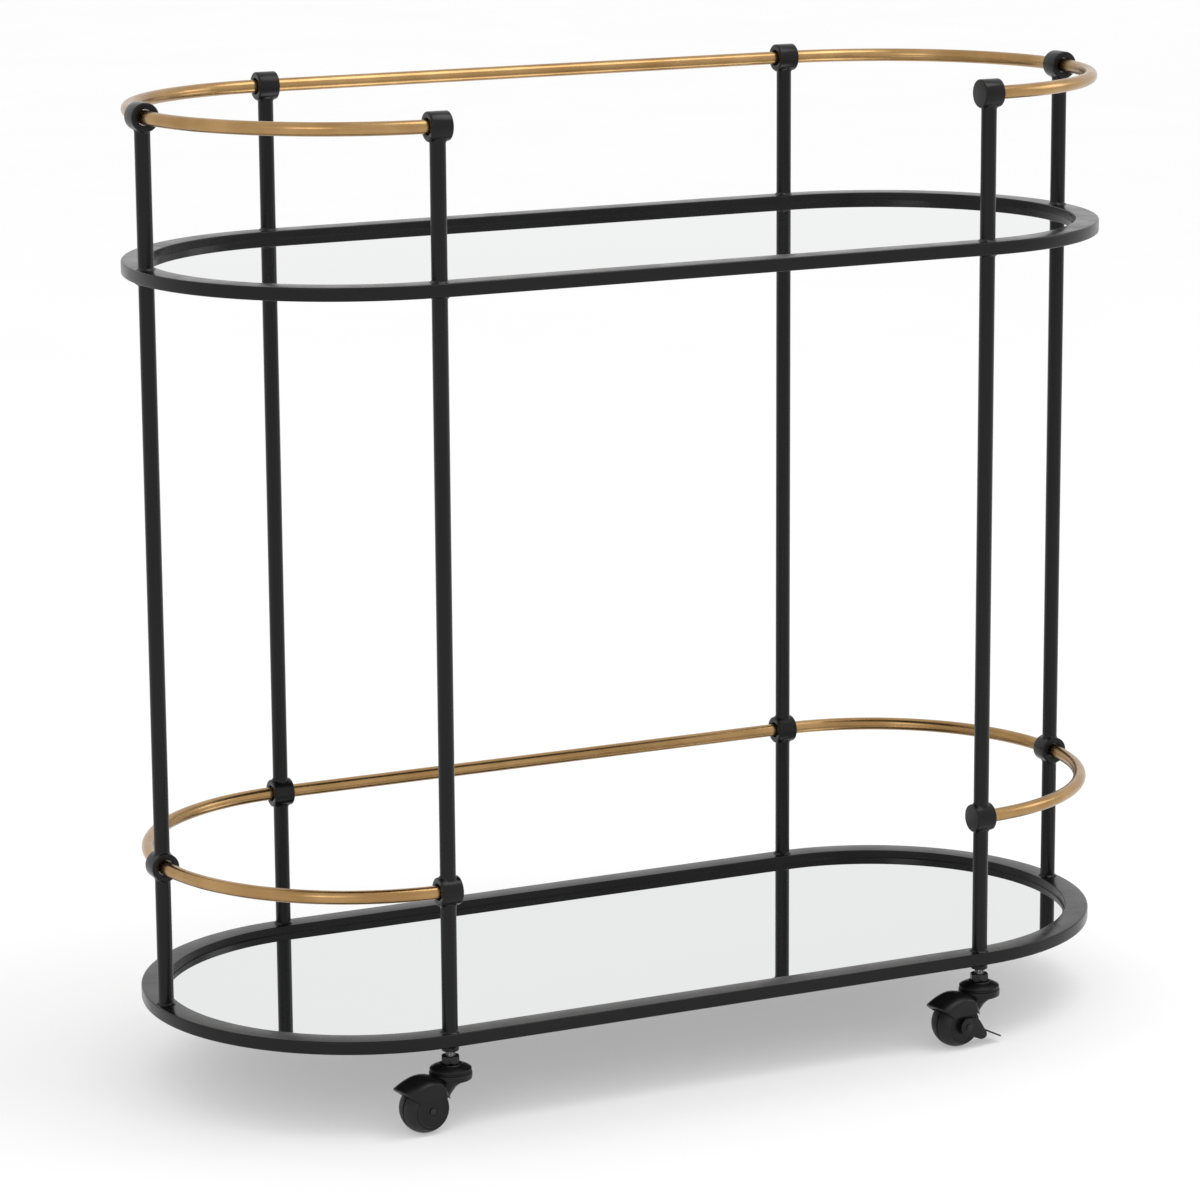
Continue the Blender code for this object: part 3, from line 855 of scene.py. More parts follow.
@dataclass(frozen=True)
class Rail:
    """The round brass rail of one tier, open along the front."""

    level: Level
    plan: Plan
    radius: float = 5.5 * MM
    overrun: float = 6.2 * MM
    end_edge: float = 0.8 * MM
    sides: int = 36

    def build(self) -> None:
        """Makes the rail.

        A circle of the tube's radius is carried along the plan from just before the front right post to
        just past the front left one. At each end its radius shrinks along a quarter circle, and then to
        nothing. The map runs along the tube in metres, and round it in metres.
        """
        plan = self.plan
        length = 2 * plan.arc + plan.straight
        arc = np.linspace(0, plan.arc, plan.arc_steps + 1)
        back = np.linspace(0, plan.straight, plan.straight_steps + 1)[1:-1] + plan.arc
        run = np.concatenate([arc, back, arc + plan.arc + plan.straight])
        shrink = np.linspace(0, np.pi / 2, 5)
        tip = self.overrun - self.end_edge * (1 - np.sin(shrink))
        small = self.radius - self.end_edge * (1 - np.cos(shrink))
        run = np.concatenate([[-self.overrun], -tip[::-1], run, length + tip, [length + self.overrun]])
        radii = np.concatenate([[0.0], small[::-1], np.full(len(run) - 12, self.radius), small, [0.0]])
        turn = np.linspace(0, 2 * np.pi, self.sides, endpoint=False)
        circle = np.stack([np.cos(turn), np.sin(turn)], axis=-1)
        profile = radii[:, None, None] * circle[None]
        profile[..., 1] += self.level.rail_height
        round_it = np.linspace(0, 2 * np.pi, self.sides + 1) * self.radius
        along = np.stack(np.meshgrid(run, round_it, indexing="ij"), axis=-1)
        sheet = plan.carried(profile, run)
        obj = Draft().add_sheet(sheet, along=along).piece(f"{self.level.value}_brass_rail", ANTIQUE_BRASS)
        hand_over(obj, "chassis", Slot.RAIL, f"{self.level.value}_rail")


# ---------------------------------------------------------------------------------------------------
# Posts and collars


@dataclass(frozen=True)
class Upright:
    """One post line: a foot post through the lower frame and a long post through the upper one.

    Where a post meets a collar it widens in a small fillet and follows the collar's round side. Where it
    passes a frame a narrow weld bead rings it.
    """

    post: Post
    radius: float = 6.35 * MM
    collar_radius: float = 11.6 * MM
    fillet: float = 1.9 * MM
    frame_height: float = 10.8 * MM
    weld: float = 2.3 * MM
    stub_radius: float = 7.0 * MM
    stub_height: float = 4.4 * MM
    socket_radius: float = 4.4 * MM
    buried: float = 0.3 * MM
    sides: int = 56

    @property
    def foot(self) -> Place:
        """The post's axis, at floor height."""
        x, y = self.post.axis
        return Place((float(x), float(y), 0.0))

    def build(self) -> None:
        """Makes the long post and the foot post."""
        lower, upper = Level.LOWER, Level.UPPER
        ends = (lower.rail_height, upper.rail_height)
        draft = Draft().add_sheet(self._tube(self._saddle(ends[0], 1), self._saddle(ends[1], -1)))
        self._bead(draft, upper.shelf_top, 1, phase=0.4)
        self._bead(draft, upper.shelf_top - self.frame_height, -1, phase=2.1)
        obj = draft.piece(f"long_post_{self.post.value}", POWDER_COAT)
        hand_over(obj, "chassis", Slot.FRAME, f"post_{self.post.value}")

        bottom = lower.shelf_top - self.frame_height
        draft = Draft().add_sheet(self._tube(self._flat(bottom), self._saddle(ends[0], -1)))
        self._bead(draft, lower.shelf_top, 1, phase=3.3)
        if self.post.has_caster:
            self._stub(draft, bottom)
            self._bead(draft, bottom, -1, phase=5.0, radius=self.stub_radius, size=self.weld * 0.6)
        obj = draft.piece(f"foot_post_tube_{self.post.value}", POWDER_COAT)
        hand_over(obj, "chassis", Slot.FRAME, f"foot_post_{self.post.value}")

    def _turns(self) -> Array:
        """Angles round the post."""
        return np.linspace(0, 2 * np.pi, self.sides, endpoint=False)

    def _saddle(self, height: float, way: int) -> tuple[Array, Array]:
        """The end of a post on a collar, from the axis out to the plain tube.

        At distance r from the post's axis and turn t from the collar's axis, the collar's side is
        sqrt(R^2 - (r sin t)^2) above or below its own axis. The fillet leaves it along a quarter circle.

        Args:
            height: Height of the collar's axis.
            way: 1 for a post that rises from the collar, -1 for one that hangs from it.

        Returns:
            Radius and height for each row and turn.
        """
        turn = self._turns()
        collar_turn = np.pi / 2 if self.post in (Post.LEFT, Post.RIGHT) else 0.0
        size = self.fillet * (1 + 0.10 * np.sin(2 * turn + 0.7 + height * 40) + 0.05 * np.sin(5 * turn))
        hidden = np.array([0.0, 0.5, 1.0])[:, None] * (self.radius + size)
        quarter = np.linspace(0, np.pi / 2, 8)[:, None]
        shown = self.radius + size * (1 - np.sin(quarter))
        radius = np.concatenate([hidden, shown])
        rise = np.concatenate([-0.4 * MM * np.ones_like(hidden), size * (1 - np.cos(quarter))])
        seat = np.sqrt(self.collar_radius**2 - (radius * np.sin(turn - collar_turn)) ** 2)
        return radius, height + way * (seat + rise)

    def _flat(self, height: float) -> tuple[Array, Array]:
        """A plain end with a small rounded edge, as radius and height for each row and turn."""
        edge = 0.5 * MM
        quarter = np.linspace(0, np.pi / 2, 4)
        radius = np.concatenate([[0.0], self.radius - edge * (1 - np.sin(quarter))])
        rise = np.concatenate([[0.0], edge * (1 - np.cos(quarter))])
        ones = np.ones((1, self.sides))
        return radius[:, None] * ones, height + rise[:, None] * ones

    def _tube(self, low: tuple[Array, Array], high: tuple[Array, Array]) -> Array:
        """The post between two ends, with straight rows between them.

        Args:
            low: Rows of the lower end, from the axis outwards.
            high: Rows of the upper end, from the axis outwards.

        Returns:
            Points by row and turn.
        """
        share = np.linspace(0, 1, 12)[1:-1, None]
        height = low[1][-1] * (1 - share) + high[1][-1] * share
        radius = np.concatenate([low[0], np.full_like(height, self.radius), high[0][::-1]])
        height = np.concatenate([low[1], height, high[1][::-1]])
        turn = self._turns()
        local = np.stack([radius * np.cos(turn), radius * np.sin(turn), height], axis=-1)
        return self.foot.carry(local)

    def _bead(
        self,
        draft: Draft,
        height: float,
        way: int,
        phase: float,
        radius: float | None = None,
        size: float | None = None,
    ) -> None:
        """Adds a weld bead round the post.

        Its section is a quarter of a flattened circle from the frame up to the post, and its size swells
        and dips round the post like a hand-laid weld.

        Args:
            draft: Gets the bead.
            height: Height of the frame's face.
            way: 1 on top of a frame, -1 below it.
            phase: Sets where the bead is thick.
            radius: Radius of what it rings, if not the post.
            size: Its size, if not the usual.
        """
        turn = self._turns()
        radius = radius or self.radius
        swell = 1 + 0.20 * np.sin(2 * turn + phase) + 0.12 * np.sin(5 * turn + 2 * phase)
        size = (size or self.weld) * (swell + 0.05 * np.sin(17 * turn))
        quarter = np.linspace(0, np.pi / 2, 7)[:, None]
        out = radius - self.buried + size * (1 - 0.75 * np.sin(quarter) - 0.25 * (1 - np.cos(quarter)))
        rise = size * (0.75 * (1 - np.cos(quarter)) + 0.25 * np.sin(quarter))
        inner = np.full((1, self.sides), radius - 1.0 * MM)
        out = np.concatenate([inner, out, inner])
        rise = np.concatenate([-self.buried * np.ones((1, self.sides)), rise, rise[-1:]])
        rise[1] = -self.buried
        local = np.stack([out * np.cos(turn), out * np.sin(turn), height + way * rise], axis=-1)
        draft.add_sheet(self.foot.carry(local), wrap_rows=True)

    def _stub(self, draft: Draft, bottom: float) -> None:
        """Adds the socket under a corner post, which the caster's stem screws into."""
        low = bottom - self.stub_height
        top, socket_top = bottom + 1 * MM, bottom + 0.5 * MM
        draft.add_turned(
            [
                (0, top, 0),
                (self.stub_radius, top, 0),
                (self.stub_radius, low, 0.6 * MM),
                (self.socket_radius, low, 0.4 * MM),
                (self.socket_radius, socket_top, 0),
                (0, socket_top, 0),
            ],
            self.foot,
            self.sides,
        )


@dataclass(frozen=True)
class Collar:
    """A short thick tube round the rail, closed on the side of the opening at the two front posts."""

    level: Level
    post: Post
    radius: float = 11.6 * MM
    bore: float = 6.7 * MM
    length: float = 18 * MM
    wall: float = 2.5 * MM
    outer_edge: float = 1.35 * MM
    bore_edge: float = 0.8 * MM
    closed_edge: float = 1.1 * MM

    def build(self) -> None:
        """Makes the collar: a profile with rounded rims turned about the rail."""
        half = self.length / 2
        x, y = self.post.axis
        where = (float(x), float(y), self.level.rail_height)
        closed = self.post in (Post.FRONT_LEFT, Post.FRONT_RIGHT)
        if closed:
            profile = [
                (0, half, 0),
                (self.radius, half, self.closed_edge),
                (self.radius, -half, self.outer_edge),
                (self.bore, -half, self.bore_edge),
                (self.bore, half - self.wall, 0.3 * MM),
                (0, half - self.wall, 0),
            ]
        else:
            profile = [
                (self.radius, half, self.outer_edge),
                (self.radius, -half, self.outer_edge),
                (self.bore, -half, self.bore_edge),
                (self.bore, half, self.bore_edge),
            ]
        draft = Draft().add_turned(profile, self._place(where), sides=72, loop=not closed)
        obj = draft.piece(f"{self.level.value}_rail_collar_{self.post.value}", POWDER_COAT)
        hand_over(obj, "chassis", Slot.FRAME, f"{self.level.value}_collar_{self.post.value}")

    def _place(self, where: tuple[float, float, float]) -> Place:
        """Lays the turning axis along the rail, towards the opening at a front post."""
        if self.post in (Post.LEFT, Post.RIGHT):
            return Place(where, (0, 0, 1), (1, 0, 0), (0, 1, 0))
        if self.post is Post.FRONT_RIGHT:
            return Place(where, (0, 0, 1), (0, 1, 0), (-1, 0, 0))
        return Place(where, (0, 1, 0), (0, 0, 1), (1, 0, 0))


# ---------------------------------------------------------------------------------------------------
# Casters


@dataclass(frozen=True)
class CasterPart:
    """What the parts of a caster share. Its own frame has the stem at X = 0 and the wheels towards +X."""

    post: Post
    trail: float = 25.8 * MM
    wheel_radius: float = 20 * MM
    flange_high: float = 45.3 * MM
    cap_top: float = 52.2 * MM
    stem_radius: float = 4.0 * MM
    gap: float = 0.3 * MM

    @property
    def heading(self) -> Array:
        """Direction from the stem to the wheels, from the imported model."""
        low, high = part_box(f"wheel_a_{self.post.value}")
        other_low, other_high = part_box(f"wheel_b_{self.post.value}")
        centre = np.array([(low + high + other_low + other_high) / 4])[0, :2]
        away = centre - self.post.axis
        return away / np.linalg.norm(away)

    def _frame(self, reach: float, height: float) -> tuple[tuple[float, float, float], ...]:
        """A frame in the caster's middle plane.

        Args:
            reach: Distance from the stem's axis towards the wheels.
            height: Height over the floor.

        Returns:
            The origin, the direction to the wheels and the direction along the axle.
        """
        x, y = self.post.axis
        ahead_x, ahead_y = (float(v) for v in self.heading)
        origin = (float(x) + reach * ahead_x, float(y) + reach * ahead_y, height)
        return origin, (ahead_x, ahead_y, 0), (-ahead_y, ahead_x, 0)

    @property
    def place(self) -> Place:
        """The caster's own frame: X to the wheels, Y along the axle, Z up."""
        foot, ahead, aside = self._frame(0.0, 0.0)
        return Place(foot, ahead, aside)

    @property
    def side_place(self) -> Place:
        """Carries an outline in the caster's X and Z, with its thickness along Y."""
        foot, ahead, aside = self._frame(0.0, 0.0)
        return Place(foot, ahead, (0, 0, 1), aside)

    @property
    def axle_place(self) -> Place:
        """A frame at the wheels' centre with its third direction along the axle."""
        centre, ahead, aside = self._frame(self.trail, self.wheel_radius)
        return Place(centre, (0, 0, 1), ahead, aside)

    def _name(self, part: str) -> str:
        """A piece's name at this corner."""
        return f"{part}_{self.post.value}"


@dataclass(frozen=True)
class Stem(CasterPart):
    """The threaded stem, bright, and the dark hexagon that it is tightened with.

    Each limit of the hexagon's radius is (share of its height, radius in millimetres).
    """

    rise: float = 0.4 * MM
    top: float = 66.4 * MM
    thread_depth: float = 0.55 * MM
    thread_pitch: float = 1.25 * MM
    thread_sides: int = 48
    pin_depth: float = 4 * MM
    pin_overlap: float = 1 * MM
    hexagon_flat: float = 6.93 * MM
    hexagon_height: float = 6.1 * MM
    hexagon_sides: int = 96
    hexagon_limits: tuple[tuple[float, float], ...] = (
        (0.0, 0.0),
        (0.0, 6.7),
        (0.03, 7.15),
        (0.09, 7.6),
        (0.16, 8.2),
        (0.50, 8.2),
        (0.84, 8.2),
        (0.91, 7.6),
        (0.97, 7.15),
        (1.0, 6.6),
        (1.0, 5.2),
        (0.97, 0.0),
    )
    sharp_above: float = 30

    def build(self) -> None:
        """Makes the stem, with a plain pin below its thread, and the hexagon."""
        low = self.cap_top + self.rise
        pin_low = self.flange_high - self.pin_depth
        pin_high = low + self.pin_overlap
        draft = Draft().add_sheet(self.place.carry(self._thread(low)))
        draft.add_turned(
            [
                (0, pin_low, 0),
                (self.stem_radius, pin_low, 0.4 * MM),
                (self.stem_radius, pin_high, 0),
                (0, pin_high, 0),
            ],
            self.place,
        )
        node = self._name("caster_stem")
        obj = draft.piece(self._name("threaded_stem"), BRIGHT_ZINC, self.sharp_above)
        hand_over(obj, "chassis", Slot.STEM, node)
        draft = Draft().add_sheet(self.place.carry(self._hexagon(low)))
        obj = draft.piece(self._name("hexagon"), DARK_ZINC, self.sharp_above)
        hand_over(obj, "chassis", Slot.STEM, node)

    def _thread(self, low: float) -> Array:
        """The thread from a height upwards.

        Its radius falls by its depth as a triangle wave of height / pitch - turn / full turn.
        """
        turn = np.linspace(0, 2 * np.pi, self.thread_sides, endpoint=False)[None]
        height = np.arange(low, self.top, self.thread_pitch / 10)[:, None]
        wave = np.abs(2 * np.mod(height / self.thread_pitch - turn / (2 * np.pi), 1) - 1)
        radius = self.stem_radius - self.thread_depth * np.clip(1.25 * wave - 0.1, 0, 1)
        radius = np.concatenate([0 * turn, radius, 0 * turn])
        height = np.concatenate([[[low]], height, [[self.top]]]) + 0 * turn
        return np.stack([radius * np.cos(turn), radius * np.sin(turn), height], axis=-1)

    def _hexagon(self, low: float) -> Array:
        """The hexagon from a height upwards.

        Its radius is the flat's distance over the cosine of the turn from the middle of the nearest
        flat, cut off by a cone at both ends.
        """
        turn = np.linspace(0, 2 * np.pi, self.hexagon_sides, endpoint=False)[None]
        near_flat = np.mod(turn, np.pi / 3) - np.pi / 6
        share, cone = (np.array(column)[:, None] for column in zip(*self.hexagon_limits))
        radius = np.minimum(self.hexagon_flat / np.cos(near_flat), cone * MM)
        height = low + self.hexagon_height * share + 0 * turn
        return np.stack([radius * np.cos(turn), radius * np.sin(turn), height], axis=-1)


@dataclass(frozen=True)
class BearingCap(CasterPart):
    """The domed bearing cap, with a groove round its rim."""

    radius: float = 16.8 * MM
    rim_height: float = 2.9 * MM
    groove_depth: float = 0.45 * MM
    crown_radius: float = 9.6 * MM
    shoulder: tuple[float, float, float] = (13.4 * MM, 50.3 * MM, 6 * MM)

    def build(self) -> None:
        """Makes the cap: a closed profile turned about the stem."""
        bore = self.stem_radius + self.gap
        low = self.flange_high + self.gap
        groove = self.radius - self.groove_depth
        profile = [
            (bore, self.cap_top, 0),
            (self.crown_radius - 0.6 * MM, self.cap_top, 0.3 * MM),
            (self.crown_radius, self.cap_top - 0.7 * MM, 0.3 * MM),
            self.shoulder,
            (self.radius, low + self.rim_height, 0.6 * MM),
            (self.radius, low + 1.9 * MM, 0.15 * MM),
            (groove, low + 1.65 * MM, 0.1 * MM),
            (groove, low + 1.25 * MM, 0.1 * MM),
            (self.radius, low + 1.0 * MM, 0.15 * MM),
            (self.radius, low, 0.35 * MM),
            (bore, low, 0),
        ]
        draft = Draft().add_turned(profile, self.place, sides=72, loop=True)
        obj = draft.piece(self._name("bearing_cap"), MOULDED_NYLON)
        hand_over(obj, "chassis", Slot.CASTER, self._name("swivel_cap"))


@dataclass(frozen=True)
class HoodedFork(CasterPart):
    """The fork: flange, neck, hood and the web between the wheels, as one moulding.

    The neck's levels are (back, height, half width) and the web's outline is (X, Z), in millimetres, and
    so are the neck's two end heights.
    """

    flange_radius: float = 17.4 * MM
    flange_low: float = 39.7 * MM
    hood_radius: float = 26 * MM
    hood_drop: float = 2 * MM
    hood_bulge: float = 20 * MM
    hood_half: float = 14.9 * MM
    hood_skirt: float = 29.2 * MM
    hood_back: float = 16.8 * MM
    hood_wall: float = 1.5 * MM
    hood_turn: float = math.radians(151.0)
    hood_rows: int = 60
    behind_start: float = math.radians(112)
    behind_sweep: float = math.radians(33)
    front_power: float = 3.0
    cavity_radius: float = 21.6 * MM
    cavity_bulge: float = 19.7 * MM
    cavity_half: float = 13.5 * MM
    visor_reach: float = 3.0 * MM
    visor_turn: float = math.radians(39)
    visor_start: float = math.radians(75)
    visor_edge: float = 1.1 * MM
    soft: float = 0.3 * MM
    least: float = 0.01 * MM
    neck_front: float = 14.5 * MM
    neck_front_half: float = 9 * MM
    neck_low: float = 25.5
    neck_high: float = 40.6
    neck_rows: int = 30
    neck_levels: tuple[tuple[float, float, float], ...] = (
        (3.0, 25.5, 8.0),
        (1.6, 28.2, 8.5),
        (-0.4, 31.0, 9.5),
        (-3.5, 34.5, 10.5),
        (-7.1, 36.8, 12.0),
        (-11.5, 38.8, 14.0),
        (-15.4, 40.0, 15.8),
    )
    web_half: float = 0.5 * MM
    web_edge: float = 0.15 * MM
    web_outline: tuple[tuple[float, float], ...] = (
        (3.0, 33.0),
        (4.6, 29.6),
        (20.6, 16.4),
        (31.0, 17.6),
        (31.4, 24.0),
        (30.0, 42.0),
        (10.0, 40.0),
    )

    def build(self) -> None:
        """Makes the fork."""
        draft = Draft().add_turned(
            [
                (0, self.flange_high, 0),
                (self.flange_radius - 0.1 * MM, self.flange_high, 0.45 * MM),
                (self.flange_radius, self.flange_high - 2.4 * MM, 2 * MM),
                (self.flange_radius - 0.2 * MM, self.flange_low, 1.0 * MM),
                (0, self.flange_low, 0),
            ],
            self.place,
            sides=72,
        )
        self._neck(draft)
        self._hood(draft)
        outline = softened(np.array(self.web_outline) * MM, 2)
        draft.add_slab(outline, -self.web_half, self.web_half, self.web_edge, self.side_place, 1)
        obj = draft.piece(self._name("hooded_fork"), MOULDED_NYLON, 40)
        hand_over(obj, f"caster_{self.post.value}", Slot.CASTER, self._name("caster_fork"))

    def _neck(self, draft: Draft) -> None:
        """Adds the neck between the hood and the flange.

        Its back and its half width are read off the levels by height and evened out over five rows.
        Each row is a half circle behind, straight sides that draw in to the front half width, and a
        front that lies inside the hood's wall: sqrt(1 - (y / bulge)^2) times the wall's middle radius
        from the axle. Both ends close to a point.
        """
        levels = np.array(self.neck_levels)
        rise, size = np.array([(0.0, 0.0), (0.0, 0.94), (0.1, 0.98), (0.4, 1.0)]).T
        rows = np.linspace(self.neck_low + 0.9, self.neck_high - 0.6, self.neck_rows)
        height = np.concatenate([self.neck_low + rise, rows, [self.neck_high, self.neck_high]])
        shrink = np.concatenate([size, np.ones(self.neck_rows + 1), [0.0]])[:, None]
        back = np.interp(height, levels[:, 1], levels[:, 0])
        half = np.interp(height, levels[:, 1], levels[:, 2])
        weights = np.array([1, 2, 3, 2, 1]) / 9
        padded = [np.concatenate([v[:1], v[:1], v, v[-1:], v[-1:]]) for v in (back, half)]
        back, half = (np.convolve(v, weights, "valid")[:, None] * MM for v in padded)
        height = height[:, None] * MM
        turn = np.linspace(np.pi / 2, 3 * np.pi / 2, 41)
        arc_y = half * np.sin(turn)[None]
        arc_x = back + half * (1 + np.cos(turn)[None])
        side = np.linspace(0, 1, 9)[None, 1:]
        side_y = half + (self.neck_front_half - half) * side
        side_x = (back + half) + (self.neck_front - back - half) * side
        front_y = self.neck_front_half * np.linspace(-1, 1, 25)[None, 1:-1] + 0 * back
        front_x = np.full_like(front_y, self.neck_front)
        x = np.concatenate([side_x[:, ::-1], arc_x, side_x, front_x], axis=1)
        y = np.concatenate([side_y[:, ::-1], arc_y, -side_y, front_y], axis=1)
        middle = (self.hood_radius - self.hood_drop + self.cavity_radius) / 2
        away = middle**2 * (1 - (y / self.hood_bulge) ** 2) - (height - self.wheel_radius) ** 2
        x = np.minimum(x, self.trail - np.sqrt(np.maximum(away, 1e-6)))
        centre = x.mean(axis=1, keepdims=True)
        x, y = centre + (x - centre) * shrink, y * shrink
        draft.add_sheet(self.place.carry(np.stack([x, y, height + 0 * x], axis=-1)))

    def _hood(self, draft: Draft) -> None:
        """Adds the hood, a shell over the wheels.

        For each turn about the axle its section goes up one side from the level skirt, over the top and
        down the other side, and back inside the wall. The top swells outwards into the visor with the
        square of the turn past the visor's start. Behind, it shrinks and rounds off along a smooth step,
        and its distance from the axle is softly limited to that of an upright plane. Past the visor's tip
        both walls close in along a quarter circle.
        """
        turn = np.linspace(self.hood_turn, self.visor_turn, self.hood_rows)
        swell = np.clip((self.visor_start - turn) / (self.visor_start - self.visor_turn), 0, 1) ** 2
        behind = np.clip((turn - self.behind_start) / self.behind_sweep, 0, 1)
        behind = behind**2 * (3 - 2 * behind)
        outer = self.hood_radius + self.visor_reach * swell - self.hood_drop * behind
        inner = self.cavity_radius + 0.6 * self.visor_reach * swell
        close = np.linspace(0, np.pi / 2, 7)[1:]
        drawn = self.visor_edge * (1 - np.cos(close))
        turn = np.concatenate([turn, self.visor_turn - np.sin(close) * self.visor_edge / self.hood_radius])
        outer = np.concatenate([outer, outer[-1] - 2.2 * drawn])
        inner = np.concatenate([inner, inner[-1] + 1.2 * drawn])
        power = np.concatenate([self.front_power - behind, np.full(len(close), self.front_power)])
        skirt = (self.hood_skirt - self.wheel_radius) / np.sin(turn)
        back = np.where(np.cos(turn) < -0.1, self.hood_back / np.maximum(-np.cos(turn), 0.1), 1.0)
        ball = np.full_like(power, 2.0)
        in_back = back - self.hood_wall
        out_y, out_r = self._wall(outer, self.hood_bulge, self.hood_half, power, skirt, back)
        in_y, in_r = self._wall(inner, self.cavity_bulge, self.cavity_half, ball, skirt, in_back)
        across = np.concatenate([out_y, in_y[:, ::-1]], axis=1)
        away = np.concatenate([out_r, in_r[:, ::-1]], axis=1)
        along = self.trail + away * np.cos(turn)[:, None]
        height = self.wheel_radius + away * np.sin(turn)[:, None]
        sheet = self.place.carry(np.stack([along, across, height], axis=-1))
        draft.add_sheet(sheet)
        half = sheet.shape[1] // 2
        for row in (sheet[0], sheet[-1]):
            draft.add_sheet(np.stack([row[:half], row[half:][::-1]]), wrap_columns=False)

    def _wall(
        self, radius: Array, bulge: float, half: float, power: Array, skirt: Array, back: Array
    ) -> tuple[Array, Array]:
        """One face of the hood: a squashed ball, held before an upright plane and above the skirt.

        Args:
            radius: The top's distance from the axle, for each row.
            bulge: Half width of the ball.
            half: Half width that it is cut off at.
            power: Power of the curve, for each row.
            skirt: The skirt's distance from the axle, for each row.
            back: The plane's distance from the axle, for each row.

        Returns:
            Places across and distances from the axle, by row.
        """
        across, away = bulged(radius, bulge, half, power, np.minimum(skirt, radius - self.least))
        held = lesser(away, back[:, None] + 0 * away, self.soft)
        return across, np.maximum(held, skirt[:, None])


@dataclass(frozen=True)
class AxlePin(CasterPart):
    """The axle, with a domed head at each end. It is longer where it carries the brake lever."""

    radius: float = 2.0 * MM
    head: float = 2.5 * MM
    crown: float = 0.8 * MM
    reach: float = 13.1 * MM
    lever_reach: float = 18.4 * MM

    def build(self) -> None:
        """Makes the axle: both heads and the pin between them, turned as one profile."""
        ends = []
        for side in Side:
            reach = self.lever_reach if side is self.post.brake_side else self.reach
            head = [
                (0, reach + self.crown, 0),
                (1.4 * MM, reach + self.crown * 0.95, 1.5 * MM),
                (self.head, reach + 0.25 * MM, 0.3 * MM),
                (self.head, reach, 0.1 * MM),
                (self.radius, reach, 0),
            ]
            ends.append([(radius, side.value * height, corner) for radius, height, corner in head])
        draft = Draft().add_turned(ends[0] + ends[1][::-1], self.axle_place)
        obj = draft.piece(self._name("axle_pin"), DARK_ZINC)
        hand_over(obj, f"caster_{self.post.value}", Slot.STEM, self._name("axle"))


@dataclass(frozen=True)
class TwinWheel(CasterPart):
    """Both halves of a twin wheel: a ball-shaped tread and a flat disc with a recessed hub on each."""

    half_width: float = 13 * MM
    middle_gap: float = 0.65 * MM
    seat: float = 14.2 * MM
    disc_inside: float = 1.25 * MM
    disc_face: float = 12.95 * MM
    disc_radius: float = 14.75 * MM
    hub_radius: float = 6.1 * MM
    bore: float = 2.3 * MM
    sides: int = 96

    def build(self) -> None:
        """Makes the tread and the disc of each half."""
        for side in Side:
            self._tread(side)
            self._disc(side)

    def _tread(self, side: Side) -> None:
        """Makes the tread, whose radius at distance y from the middle is sqrt(R^2 - y^2)."""
        y = np.linspace(self.middle_gap + 0.2 * MM, self.half_width - 0.05 * MM, 24)
        ball = np.sqrt(self.wheel_radius**2 - y**2)
        gap, seat = self.middle_gap / MM, self.seat / MM
        inside = np.array([(seat, 12.2), (seat, gap), (19.75, gap), (19.9, gap + 0.08)]) * MM
        lip = np.array([(15.0, 12.98), (14.75, 12.6)]) * MM
        loop = np.concatenate([inside, np.stack([ball, y], axis=-1), lip])
        loop[:, 1] *= side.value
        body = self._name(side.body)
        draft = Draft().add_sheet(self.axle_place.carry(turned(loop, self.sides)), wrap_rows=True)
        obj = draft.piece(self._name(f"tread_{side.name.lower()}"), WHEEL_TREAD)
        hand_over(obj, body, Slot.CASTER, body)

    def _disc(self, side: Side) -> None:
        """Makes the disc: a closed profile turned about the axle, with a shallow dish round its hub."""
        face = self.disc_face
        disc = [
            (self.bore, self.disc_inside, 0),
            (14.4 * MM, self.disc_inside, 0),
            (self.disc_radius, face, 0.35 * MM),
            (13.2 * MM, face + 0.02 * MM, 0.3 * MM),
            (12.9 * MM, face - 0.22 * MM, 0.2 * MM),
            (6.5 * MM, face - 0.12 * MM, 0.5 * MM),
            (self.hub_radius, face, 0.2 * MM),
            (5.5 * MM, face, 0.2 * MM),
            (5.2 * MM, face - 0.35 * MM, 0.15 * MM),
            (self.bore, face - 0.35 * MM, 0),
        ]
        profile = [(radius, side.value * height, corner) for radius, height, corner in disc]
        body = self._name(side.body)
        draft = Draft().add_turned(profile, self.axle_place, sides=self.sides, loop=True)
        obj = draft.piece(self._name(f"disc_{side.name.lower()}"), MOULDED_NYLON)
        hand_over(obj, body, Slot.CASTER, body)


